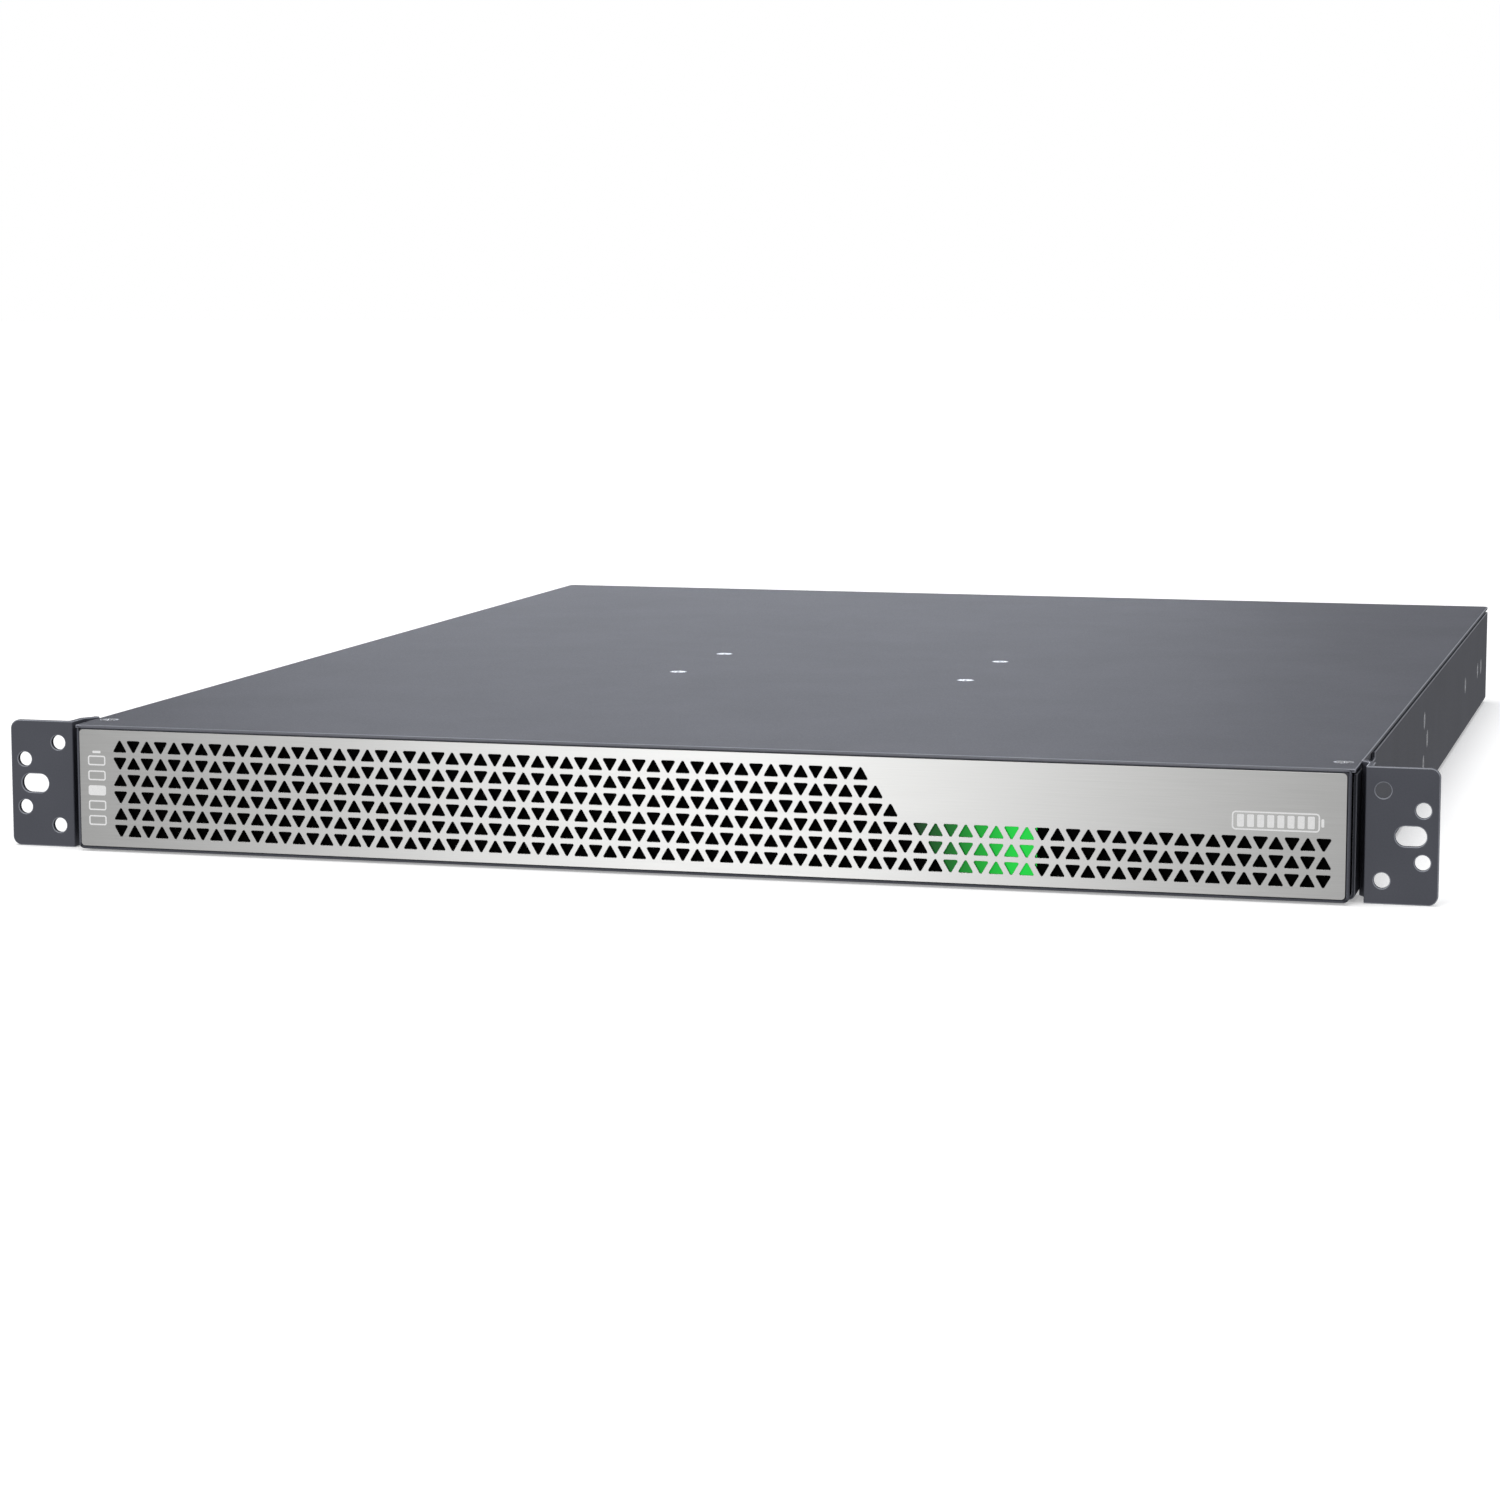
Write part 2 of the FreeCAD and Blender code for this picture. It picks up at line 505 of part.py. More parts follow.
def rack_ear(side, way):
    """Pressed bracket: the punched ear, a short return, a joggle and a flange on the case wall."""
    body = new_body(f"{side}_ear_body")
    half = "ear_height / 2"
    end = f"{way} * ear_span / 2"
    flange_inside = f"{way} * ({WALL})"
    flange_outside = f"{way} * ({WALL} + ear_sheet)"
    return_inside = f"{way} * ear_inner"
    return_outside = f"{way} * (ear_inner + ear_sheet)"
    outside_bends = ((return_outside, "ear_sheet"), (return_outside, "ear_return + ear_joggle_shift"),
                     (flange_outside, "ear_return + ear_joggle + ear_joggle_shift"))
    inside_bends = ((flange_inside, "ear_return + ear_joggle"), (return_inside, "ear_return"))
    pad(body, f"{side}_ear_bracket", "XY", f"-{half}", half,
        (polygon, (return_inside, 0), (end, 0), (end, "ear_sheet"), *outside_bends,
         (flange_outside, "ear_flange_depth"), (flange_inside, "ear_flange_depth"), *inside_bends))
    for name, low, high in (("over", "ear_flange_height / 2", "ear_height"),
                            ("under", "-ear_height", "-ear_flange_height / 2")):
        pocket(body, f"{side}_ear_{name}", "YZ", f"{flange_outside} - 6", f"{flange_outside} + 6",
               (rectangle, "ear_return + ear_joggle + 2 * ear_bend", "ear_flange_depth + 1", low, high))
    bends = [(number(across), number(along)) for across, along in outside_bends + inside_bends]
    dress(body, "PartDesign::Fillet", f"{side}_ear_bends", "Radius", "ear_bend",
          lambda edge: any(runs_along(edge, "z", x=(across,), y=(along,)) for across, along in bends))
    dress(body, "PartDesign::Fillet", f"{side}_ear_front_edge", "Radius", "ear_front_edge",
          lambda edge: runs_along(edge, "z", x=(number(return_inside),), y=(0,)))
    dress(body, "PartDesign::Fillet", f"{side}_ear_corners", "Radius", "ear_corner",
          lambda edge: runs_along(edge, "y", x=(number(end),)))
    holes = [(obround, f"{way} * rack_slot_offset", 0, "rack_slot_length", "rack_slot_height")]
    for kind in ("inner", "outer"):
        for up in ("", "-"):
            holes.append((circle, f"{way} * {kind}_hole_offset", f"{up}{kind}_hole_rise",
                          f"{kind}_hole_bore / 2"))
    pocket(body, f"{side}_ear_holes", "XZ", -1, "ear_sheet + 1", *holes)
    cutters = side_sinks(f"{side}_ear_sink", EAR_SCREWS, "case_width / 2 + ear_sheet", "case_sheet + 0.01")
    shafts = sheet_holes(f"{side}_ear_hole", EAR_SCREWS, "sink_hole",
                         WALL + " - 1", WALL + " + ear_sheet - case_sheet")
    sub_part(cut(f"{side}_ear", body, cutters + shafts), f"{side}_rack_ear")


def front_panel():
    """Inner front wall, open for air, with flanges folded back at top and bottom."""
    body = new_body("front_panel_body")
    low = "case_sheet - case_height / 2"
    half = "case_width / 2 - case_sheet - corner_clearance"
    pad(body, "front_panel_web", "XZ", "front_panel_face", FRONT_INSIDE,
        (rectangle, f"-({half})", half, low, COVER_UNDER))
    for name, bottom, top in (("top", f"{COVER_UNDER} - case_sheet", COVER_UNDER),
                              ("bottom", low, f"{low} + case_sheet")):
        pad(body, f"front_panel_{name}", "XY", bottom, top,
            (rectangle, f"-({half})", half, FRONT_INSIDE, f"{FRONT_INSIDE} + front_flange_depth"))
    windows = []
    for index in range(int(DIMENSIONS["front_window_count"])):
        centre = f"({index} - (front_window_count - 1) / 2) * front_window_pitch"
        windows.append((rectangle, f"{centre} - front_window_width / 2",
                        f"{centre} + front_window_width / 2",
                        "-front_window_height / 2", "front_window_height / 2"))
    pocket(body, "front_panel_windows", "XZ", "front_panel_face - 1", f"{FRONT_INSIDE} + 1", *windows)
    pocket(body, "front_panel_screw_holes", "XY", f"{COVER_UNDER} - case_sheet - 1", f"{COVER_UNDER} + 1",
           (circle, "-cover_screw_across", "cover_screw_back", "screw_radius"),
           (circle, "cover_screw_across", "cover_screw_back", "screw_radius"))
    studs = [(circle, f"{way} * ball_across", f"{up} * ball_rise", "ball_neck")
             for way in (-1, 1) for up in (-1, 1)]
    pocket(body, "front_panel_stud_holes", "XZ", "front_panel_face - 1", f"{FRONT_INSIDE} + 1", *studs)
    sub_part(body, "front_panel")


def rear_panel():
    """Rear wall with cut-outs for the connections, two fans and a row of vents."""
    body = new_body("rear_panel_body")
    low = "case_sheet - case_height / 2 + 0.1"
    high = "case_height / 2 - case_sheet"
    half = "case_width / 2 - case_sheet - corner_clearance"
    pad(body, "rear_panel_web", "XZ", REAR_INSIDE, REAR_OUTSIDE,
        (rectangle, f"-({half})", half, low, high))
    pad(body, "rear_panel_top", "XY", f"{high} - case_sheet", high,
        (rectangle, f"-({half} - 2)", f"{half} - 2", f"{REAR_INSIDE} - rear_flange_depth", REAR_INSIDE))
    for side, way in SIDES.items():
        pad(body, f"rear_panel_{side}", "XY", -15, 15,
            (rectangle, f"{way} * ({WALL_INSIDE} - case_sheet)", f"{way} * ({WALL_INSIDE})",
             f"{REAR_INSIDE} - rear_side_flange", REAR_INSIDE))
    # room in the top flange for the fans, which reach up to the cover
    fans_left = "fan_two - fan_size / 2 - 1"
    fans_right = "fan_one + fan_size / 2 + 1"
    pocket(body, "rear_panel_fan_room", "XY", f"{high} - case_sheet - 0.5", f"{high} + 0.5",
           (rectangle, fans_left, fans_right, f"{REAR_INSIDE} - rear_flange_depth - 1", REAR_INSIDE))
    cut_outs = [(rectangle, f"{place} - power_width / 2", f"{place} + power_width / 2",
                 "power_rise - power_height / 2", "power_rise + power_height / 2")
                for place in ("power_one", "power_two")]
    cut_outs += [(rectangle, f"{place} - port_width / 2", f"{place} + port_width / 2",
                  "port_rise - port_height / 2", "port_rise + port_height / 2")
                 for place in ("port_one", "port_two")]
    cut_outs.append((rectangle, "breaker_across - breaker_width / 2",
                     "breaker_across + breaker_width / 2", "-breaker_height / 2", "breaker_height / 2"))
    cut_outs.append((circle, "button_across", "button_rise", "bush_radius"))
    cut_outs.append((circle, "stud_across", "stud_rise", "stud_radius"))
    cut_outs += [(circle, place, 0, "fan_panel_hole") for place in ("fan_one", "fan_two")]
    pocket(body, "rear_panel_cut_outs", "XZ", f"{REAR_INSIDE} - 1", f"{REAR_OUTSIDE} + 1", *cut_outs)
    # one vent slot, repeated along X
    slot = pocket(body, "rear_panel_vent", "XZ", f"{REAR_INSIDE} - 1", f"{REAR_OUTSIDE} + 1",
                  (obround, "vent_slot_start", -2, "vent_slot_height", "vent_slot_width", True))
    pattern = body.newObject("PartDesign::LinearPattern", "rear_panel_vents")
    pattern.Originals = [slot]
    pattern.Direction = (slot.Profile[0], ["H_Axis"])
    pattern.setExpression("Length", cells("vent_slot_pitch * (vent_slot_count - 1)"))
    pattern.setExpression("Occurrences", cells("vent_slot_count"))
    body.Tip = pattern
    through = (f"{REAR_INSIDE} - 1", f"{REAR_OUTSIDE} + 1")
    holes = [rod(f"rear_hole_{index}", "y", "screw_radius", *through, place)
             for index, place in enumerate(pan_screw_places())]
    holes += [rod(f"rear_tab_hole_{index}", "y", "screw_radius", *through,
                  (across, f"{COVER_UNDER} - tab_height / 2")) for index, across in enumerate(TAB_PLACES)]
    holes += sheet_holes("rear_flange_hole", PANEL_SCREWS, "screw_radius", FLANGE_INSIDE, WALL_INSIDE)
    sub_part(cut("rear_panel_cut", body, holes), "rear_panel")


def pan_screw_places():
    """Across and up of each pan-head screw that holds the connectors and fans."""
    places = [(f"{place} {way} {FLANGE_SCREW}", "power_rise")
              for place in ("power_one", "power_two") for way in "+-"]
    for place in ("fan_one", "fan_two"):
        for way in "+-":
            for up in (1, -1):
                places.append((f"{place} {way} fan_hole_pitch", f"{up} * fan_hole_pitch"))
    return places


def fasteners():
    """Groups of equal screws."""
    tops = [Vector(number(x), number(y), number(COVER_TOP)) for x, y in cover_screw_places()]
    up = Vector(0, 0, 1)
    back = Vector(0, 1, 0)
    cover_places = [facing(point, up) for point in tops]
    sub_part(copies("cover_screw_set", short_screw, cover_places), "cover_screws")
    sub_part(copies("side_screw_set", side_screw, side_places(SIDE_SCREWS, WALL)), "side_screws")
    ear_places = side_places(EAR_SCREWS, "case_width / 2 + ear_sheet")
    sub_part(copies("ear_screw_set", side_screw, ear_places), "ear_screws")
    outside = number(REAR_OUTSIDE)
    on_flange = number("case_depth - case_sheet + power_flange")
    on_guard = number("case_depth - case_sheet + 2 * guard_wire")
    places = []
    for index, (across, rise) in enumerate(pan_screw_places()):
        face = on_flange if index < 4 else on_guard
        places.append(facing(Vector(number(across), face, number(rise)), back))
    sub_part(copies("rear_screw_set", pan_head_screw, places), "rear_panel_screws")
    rise = number("case_height / 2 - case_sheet - tab_height / 2")
    tabs = [facing(Vector(across, outside + number("case_sheet"), rise), back) for across in TAB_PLACES]
    sub_part(copies("tab_screw_set", pan_head_screw, tabs), "cover_tab_screws")


# ---------------------------------------------------------------- pull-off bezel

def bezel_frame():
    """Moulded rim with a recess for the faceplate and a skirt that enters the case."""
    body = new_body("bezel_body")
    half_width = "bezel_width / 2"
    half_height = "bezel_height / 2"
    pad(body, "bezel_rim_pad", "XZ", "-bezel_reach", "bezel_rim - bezel_reach",
        (rectangle, f"-{half_width}", half_width, f"-{half_height}", half_height))
    xs = (-number(half_width), number(half_width))
    dress(body, "PartDesign::Fillet", "bezel_corners", "Radius", "bezel_corner",
          lambda edge: runs_along(edge, "y", x=xs))
    front = -number("bezel_reach")
    dress(body, "PartDesign::Chamfer", "bezel_front_edge", "Size", "bezel_chamfer",
          lambda edge: abs(edge.BoundBox.YMin - front) < 1e-3 and abs(edge.BoundBox.YMax - front) < 1e-3)
    pad(body, "bezel_skirt", "XZ", "bezel_rim - bezel_reach", "skirt_back",
        (rectangle, "-skirt_width / 2", "skirt_width / 2", "-skirt_height / 2", "skirt_height / 2"))
    inner_width = "(skirt_width / 2 - skirt_wall)"
    inner_height = "(skirt_height / 2 - skirt_wall)"
    pocket(body, "bezel_hollow", "XZ", "-bezel_floor_back", "skirt_back + 1",
           (rectangle, f"-{inner_width}", inner_width, f"-{inner_height}", inner_height))
    recess_width = "(plate_width / 2 + plate_recess_margin)"
    recess_height = "(plate_height / 2 + plate_recess_margin)"
    pocket(body, "bezel_recess", "XZ", "-bezel_reach - 1", "-bezel_floor_front",
           (rectangle, f"-{recess_width}", recess_width, f"-{recess_height}", recess_height))
    pocket(body, "bezel_window", "XZ", "-bezel_reach", "0", (polygon, *grille_outline(0)))
    sub_part(body, "bezel_frame")


def grille_outline(margin):
    """Outline of the perforated area: full height on the left, low on the right."""
    side = f"({margin})"
    return ((f"grille_left - {side}", f"-grille_half_height - {side}"),
            (f"grille_right + {side}", f"-grille_half_height - {side}"),
            (f"grille_right + {side}", f"grille_step_top + {side}"),
            (f"grille_step_low + {side}", f"grille_step_top + {side}"),
            (f"grille_step_high + {side}", f"grille_half_height + {side}"),
            (f"grille_left - {side}", f"grille_half_height + {side}"))


def rounded_triangle(centre, upright):
    """Wire of an equal-sided triangle in the XZ plane with rounded corners."""
    side = number("vent_side")
    radius = number("vent_corner")
    corner_reach = side / math.sqrt(3) - 2 * radius
    start = math.pi / 2 if upright else -math.pi / 2
    # the rounded figure stands between the row's limits whichever way it points
    drop = (radius + corner_reach - (radius + corner_reach / 2)) / 2
    middle = Vector(centre.x, centre.y, centre.z - drop if upright else centre.z + drop)
    edges = []
    angles = [start + index * 2 * math.pi / 3 for index in range(3)]
    spots = [middle + Vector(math.cos(a), 0, math.sin(a)) * corner_reach for a in angles]
    third = math.pi / 3

    def rim(spot, angle):
        return spot + Vector(math.cos(angle), 0, math.sin(angle)) * radius

    for index, angle in enumerate(angles):
        spot = spots[index]
        following = spots[(index + 1) % 3]
        edges.append(Part.Arc(rim(spot, angle - third), rim(spot, angle), rim(spot, angle + third)).toShape())
        edges.append(Part.LineSegment(rim(spot, angle + third), rim(following, angle + third)).toShape())
    return Part.Wire(edges)


def bezel_faceplate():
    """Brushed plate with rows of small triangles that point up and down in turn."""
    back = -number("bezel_floor_front")
    half_width = number("plate_width / 2")
    half_height = number("plate_height / 2")
    blank = Part.makeBox(2 * half_width, number("plate_sheet"), 2 * half_height,
                         Vector(-half_width, back - number("plate_sheet"), -half_height))
    corners = [edge for edge in blank.Edges if runs_along(edge, "y")]
    blank = blank.makeFillet(number("plate_corner"), corners)
    face = next(side for side in blank.Faces if abs(side.CenterOfMass.y - back) < 1e-6)
    wires = [face.OuterWire]
    rows = int(DIMENSIONS["vent_row_count"])
    for row in range(rows):
        rise = ((rows - 1) / 2 - row) * number("vent_row_pitch")
        for column in range(perforation_count(row)):
            across = number("vent_first") + column * number("vent_pitch")
            wires.append(rounded_triangle(Vector(across, back, rise), (column + row) % 2 == 0))
    pierced = Part.makeFace(wires, "Part::FaceMakerBullseye")
    plate = doc.addObject("Part::Feature", "faceplate")
    plate.Shape = pierced.extrude(Vector(0, -number("plate_sheet"), 0))
    plate.Placement = Placement()
    sub_part(plate, "bezel_faceplate")


def perforation_count(row):
    """The upper rows stop early, one column later in each row, to leave a plain corner."""
    rows = int(DIMENSIONS["vent_row_count"])
    if row >= rows / 2:
        return int(DIMENSIONS["vent_column_count"])
    return int(DIMENSIONS["vent_step_column"]) + row


def filter_and_guide():
    """Foam air filter, and the light guide that fills a notch in it."""
    front = "-bezel_floor_back + 0.1"
    foam = new_body("filter_body")
    pad(foam, "filter_pad", "XZ", front, f"{front} + filter_depth",
        (polygon, *grille_outline("filter_margin")))
    pocket(foam, "filter_notch", "XZ", f"{front} - 1", f"{front} + filter_depth + 1",
           (polygon, ("guide_bottom_left - guide_gap", "guide_bottom - guide_gap"),
            ("guide_right + guide_gap", "guide_bottom - guide_gap"),
            ("guide_right + guide_gap", "guide_top + guide_gap"),
            ("guide_top_left - guide_gap", "guide_top + guide_gap")))
    sub_part(foam, "bezel_air_filter")
    guide = new_body("guide_body")
    pad(guide, "guide_pad", "XZ", "-guide_front", "-guide_back",
        (polygon, ("guide_bottom_left", "guide_bottom"), ("guide_right", "guide_bottom"),
         ("guide_right", "guide_top"), ("guide_top_left", "guide_top")))
    sub_part(guide, "bezel_light_guide")


def snap_fixings():
    """Ball studs on the front panel, and the bezel's sockets around them."""
    sockets = []
    studs = []
    top = "(skirt_height / 2 - skirt_wall)"
    for side, way in SIDES.items():
        for level, up in (("lower", -1), ("upper", 1)):
            name = f"{side}_{level}"
            across = f"{way} * ball_across"
            rise = f"{up} * ball_rise"
            limits = (top, f"({top} - socket_height)")
            low, high = limits[::-1] if up > 0 else limits
            shell = block(f"socket_shell_{name}",
                          (f"{across} - socket_width / 2", f"{across} + socket_width / 2"),
                          ("socket_front", "skirt_back"), (f"{up} * {low}", f"{up} * {high}"))
            bore = rod(f"socket_bore_{name}", "y", "socket_bore", 0, "skirt_back + 1", (across, rise))
            sockets.append(cut(f"socket_{name}", shell, [bore]))
            ball = doc.addObject("Part::Sphere", f"ball_{name}")
            ball.setExpression("Radius", cells("ball_radius"))
            ball.setExpression("Placement.Base.x", cells(across))
            ball.setExpression("Placement.Base.y", cells("ball_centre"))
            ball.setExpression("Placement.Base.z", cells(rise))
            neck = rod(f"ball_neck_{name}", "y", "ball_neck", "ball_centre", f"{FRONT_INSIDE} + 2",
                       (across, rise))
            collar = rod(f"ball_collar_{name}", "y", "ball_neck + 1", "front_panel_face - 1",
                         "front_panel_face", (across, rise))
            studs.append(fuse(f"ball_stud_{name}", [ball, neck, collar]))
    sub_part(gather("sockets", sockets), "bezel_snap_sockets")
    sub_part(gather("ball_studs", studs), "bezel_ball_studs")


def status_lights():
    """Small board with a row of light-emitting diodes behind the light guide."""
    board = block("led_board", ("led_board_left", "led_board_right"),
                  ("led_board_face", "led_board_face + board_sheet"), ("led_board_low", "led_board_high"))
    sub_part(board, "status_light_board")
    diodes = []
    middle = "(led_board_low + led_board_high) / 2"
    for index in range(int(DIMENSIONS["led_count"])):
        centre = f"(led_board_right - 6 - {index} * led_pitch)"
        diodes.append(block(f"led_{index}", (f"{centre} - led_size / 2", f"{centre} + led_size / 2"),
                            ("led_board_face - led_height", "led_board_face"),
                            (f"{middle} - led_size / 2", f"{middle} + led_size / 2")))
    sub_part(gather("led_row", diodes), "status_leds")
    posts = [rod(f"led_post_{index}", "y", "led_post_radius", "led_board_face + board_sheet",
                 "front_panel_face", (across, middle))
             for index, across in enumerate(("led_board_left + 3.5", "led_board_right - 2.5"))]
    sub_part(gather("led_posts", posts), "light_board_posts")


# ---------------------------------------------------------------- battery

def module_places():
    """Left corner and front of each of the six modules, in two banks of three."""
    places = []
    for bank in range(2):
        for column in (-1, 0, 1):
            left = column * number("module_pitch") - number("module_length") / 2
            places.append((left, number("module_front") + bank * number("module_bank_pitch")))
    return places


def battery_modules():
    """Cells in two layers, the frames that hold them and the nickel strips."""
    floor = number(MODULE_FLOOR)
    wall = number("holder_wall")
    rows = int(DIMENSIONS["cell_rows"])
    pitch = number("cell_pitch")
    first_row = (number("module_width") - (rows - 1) * pitch) / 2
    low_layer = floor + number("cell_radius") + 0.3
    layers = (low_layer, low_layer + number("cell_layer"))
    can = Part.makeCylinder(number("cell_radius"), number("cell_length"), Vector(), Vector(1, 0, 0))
    tip = Part.makeCylinder(number("cell_tip_radius"), number("cell_tip"),
                            Vector(number("cell_length"), 0, 0), Vector(1, 0, 0))
    cell = can.fuse(tip)
    strips = []
    for index, (left, front) in enumerate(module_places(), start=1):
        name = f"module_{index}"
        row_places = [front + first_row + row * pitch for row in range(rows)]
        starts = (left + wall + 0.2, left + number("module_length / 2") + 0.4)
        placed = []
        for start in starts:
            for row_place in row_places:
                for layer in layers:
                    solid = cell.copy()
                    solid.Placement = Placement(Vector(start, row_place, layer), Rotation())
                    placed.append(solid)
        group = doc.addObject("Part::Feature", name + "_cell_set")
        group.Shape = Part.makeCompound(placed)
        group.Placement = Placement()
        sub_part(group, name + "_cells")
        outer = block(name + "_frame", (left, f"{left} + module_length"), (front, f"{front} + module_width"),
                      (MODULE_FLOOR, f"{MODULE_FLOOR} + module_height"))
        inner = block(name + "_room", (f"{left} + holder_wall", f"{left} + module_length - holder_wall"),
                      (f"{front} + holder_wall", f"{front} + module_width - holder_wall"),
                      (f"{MODULE_FLOOR} - 1", f"{MODULE_FLOOR} + module_height + 1"))
        windows = [rod(f"{name}_window_{row}_{level}", "x", "holder_window", left - 1,
                       f"{left} + module_length + 1", (row_place, layer))
                   for row, row_place in enumerate(row_places) for level, layer in enumerate(layers)]
        sub_part(cut(name + "_holder_cut", outer, [inner] + windows), name + "_holder")
        low = floor + number("strip_margin")
        height = number("module_height - 2 * strip_margin")
        sheet = number("busbar_sheet")
        overlap = number("strip_overlap")
        for end, groups in ((left - sheet, ((0, 1), (2, 3), (4, 5), (6, 6))),
                            (left + number("module_length"), ((0, 0), (1, 2), (3, 4), (5, 6)))):
            for begin, finish in groups:
                start = row_places[begin] - overlap
                length = row_places[finish] + overlap - start
                strips.append(Part.makeBox(sheet, length, height, Vector(end, start, low)))
    strip_set = doc.addObject("Part::Feature", "strip_set")
    strip_set.Shape = Part.makeCompound(strips)
    strip_set.Placement = Placement()
    sub_part(strip_set, "module_busbars")


def link_bars():
    """Copper bars that join the modules in series and the two banks."""
    bars = []
    middle = "(module_pitch / 2)"
    for bank, along in (("front", "module_front - link_sheet"),
                        ("back", "module_front + module_bank_pitch + module_width")):
        for side, way in SIDES.items():
            bars.append(block(f"link_{bank}_{side}",
                              (f"{way} * {middle} - link_length / 2", f"{way} * {middle} + link_length / 2"),
                              (along, f"{along} + link_sheet"), ("link_low", "link_high")))
    channel = "(module_pitch + module_length / 2 + link_sheet)"
    bars.append(block("link_banks", (f"-{channel} - link_sheet", f"-{channel}"),
                      ("module_front + module_width - bank_link_overlap",
                       "module_front + module_bank_pitch + bank_link_overlap"),
                      ("-bank_link_height / 2", "bank_link_height / 2")))
    sub_part(gather("links", bars), "module_link_bars")


def brace():
    """Cross wall between the banks, and the plate under the cover's middle screws."""
    body = new_body("brace_body")
    pad(body, "brace_web", "XZ", "brace_face", "brace_face + case_sheet",
        (rectangle, f"-({WALL_INSIDE} - brace_clearance)", f"{WALL_INSIDE} - brace_clearance",
         MODULE_FLOOR, f"{COVER_UNDER} - case_sheet"))
    for side, way in SIDES.items():
        pad(body, f"brace_flange_{side}", "XY", "-brace_flange_height / 2", "brace_flange_height / 2",
            (rectangle, f"{way} * ({WALL_INSIDE} - case_sheet)", f"{way} * ({WALL_INSIDE})",
             "brace_face + case_sheet", "brace_face + brace_flange_depth"))
    # doors for the cable and the link bar, notches for the cover's lips, and air windows
    openings = [(rectangle, f"{way} * door_inner", f"{way} * door_outer", "door_low", "door_high")
                for way in (-1, 1)]
    openings += [(rectangle, f"{way} * ({WALL_INSIDE} - cover_lip_inset - 0.8)",
                  f"{way} * ({WALL_INSIDE} + 1)", f"{COVER_UNDER} - cover_lip - 0.5", COVER_TOP)
                 for way in (-1, 1)]
    openings += [(rectangle, f"{column} * brace_window_pitch - brace_window_width / 2",
                  f"{column} * brace_window_pitch + brace_window_width / 2",
                  "-brace_window_height / 2", "brace_window_height / 2") for column in (-1, 0, 1)]
    pocket(body, "brace_openings", "XZ", "brace_face - 1", "brace_face + case_sheet + 1", *openings)
    holes = sheet_holes("brace_hole", BRACE_SCREWS, "screw_radius", FLANGE_INSIDE, WALL_INSIDE)
    sub_part(cut("brace_cut", body, holes), "centre_brace")
    plate = new_body("stiffener_body")
    pad(plate, "stiffener_plate", "XY", f"{COVER_UNDER} - case_sheet", COVER_UNDER,
        (rectangle, "stiffener_left", "stiffener_right", "stiffener_front", "stiffener_back"))
    dress(plate, "PartDesign::Fillet", "stiffener_corners", "Radius", "stiffener_corner",
          lambda edge: runs_along(edge, "z"))
    pocket(plate, "stiffener_holes", "XY", f"{COVER_UNDER} - case_sheet - 1", f"{COVER_UNDER} + 1",
           *[(circle, across, along, "screw_radius") for across, along in cover_screw_places()[2:]])
    sub_part(plate, "cover_stiffener")
    sheet = block("film_sheet", ("-film_width / 2", "film_width / 2"), ("module_front - 10", "board_back"),
                  (FLOOR_TOP, MODULE_FLOOR))
    sub_part(sheet, "floor_insulator")


# ---------------------------------------------------------------- power board

def power_board():
    """Battery management board, held by a shelf on each side wall."""
    shelves = []
    wall = f"({WALL_INSIDE})"
    for side, way in SIDES.items():
        body = new_body(f"shelf_{side}_body")
        pad(body, f"shelf_{side}", "XZ", "shelf_front", "shelf_back",
            (polygon, (f"{way} * {wall}", "board_low - case_sheet"), (f"{way} * {wall}", "shelf_top"),
             (f"{way} * ({wall} - case_sheet)", "shelf_top"), (f"{way} * ({wall} - case_sheet)", "board_low"),
             (f"{way} * ({wall} - shelf_width)", "board_low"),
             (f"{way} * ({wall} - shelf_width)", "board_low - case_sheet")))
        shelves.append(body)
    holes = sheet_holes("shelf_hole", SHELF_SCREWS, "screw_radius", FLANGE_INSIDE, WALL_INSIDE)
    count = len(SHELF_SCREWS)
    drilled = [cut(f"shelf_cut_{index}", body, holes[count * index:count * (index + 1)])
               for index, body in enumerate(shelves)]
    sub_part(gather("shelf_pair", drilled), "board_side_shelves")
    board = block("power_board_sheet", ("-board_half_width", "board_half_width"),
                  ("board_front", "board_back"), ("board_low", BOARD_TOP))
    sub_part(board, "power_board")


def switching_stage():
    """Transistors under a finned heat sink, and the capacitors beside it."""
    base = f"({BOARD_TOP} + fet_height)"
    along = ("sink_front", "sink_back")
    fins = [block("sink_base", ("sink_left", "sink_right"), along, (base, f"{base} + sink_base"))]
    for index in range(int(DIMENSIONS["fin_count"])):
        left = f"sink_left + {index} * fin_pitch"
        fins.append(block(f"sink_fin_{index}", (left, f"{left} + fin_sheet"), along,
                          (f"{base} + sink_base", "fin_top")))
    sub_part(fuse("heatsink", fins), "board_heatsink")
    transistors = []
    capacitors = []
    for row in range(2):
        for index in range(int(DIMENSIONS["fet_count"])):
            left = f"fet_left + {index} * fet_pitch"
            front = f"fet_front + {row} * fet_row_pitch"
            transistors.append(block(f"transistor_{row}_{index}", (left, f"{left} + fet_width"),
                                     (front, f"{front} + fet_depth"), (BOARD_TOP, base)))
        for index in range(int(DIMENSIONS["capacitor_count"])):
            spot = (f"capacitor_across - {index} * capacitor_pitch",
                    f"capacitor_along + {row} * capacitor_row_pitch")
            capacitors.append(rod(f"capacitor_{row}_{index}", "z", "capacitor_radius",
                                  BOARD_TOP, f"{BOARD_TOP} + capacitor_height", spot))
    sub_part(gather("transistor_set", transistors), "board_transistors")
    sub_part(gather("capacitor_set", capacitors), "board_capacitors")


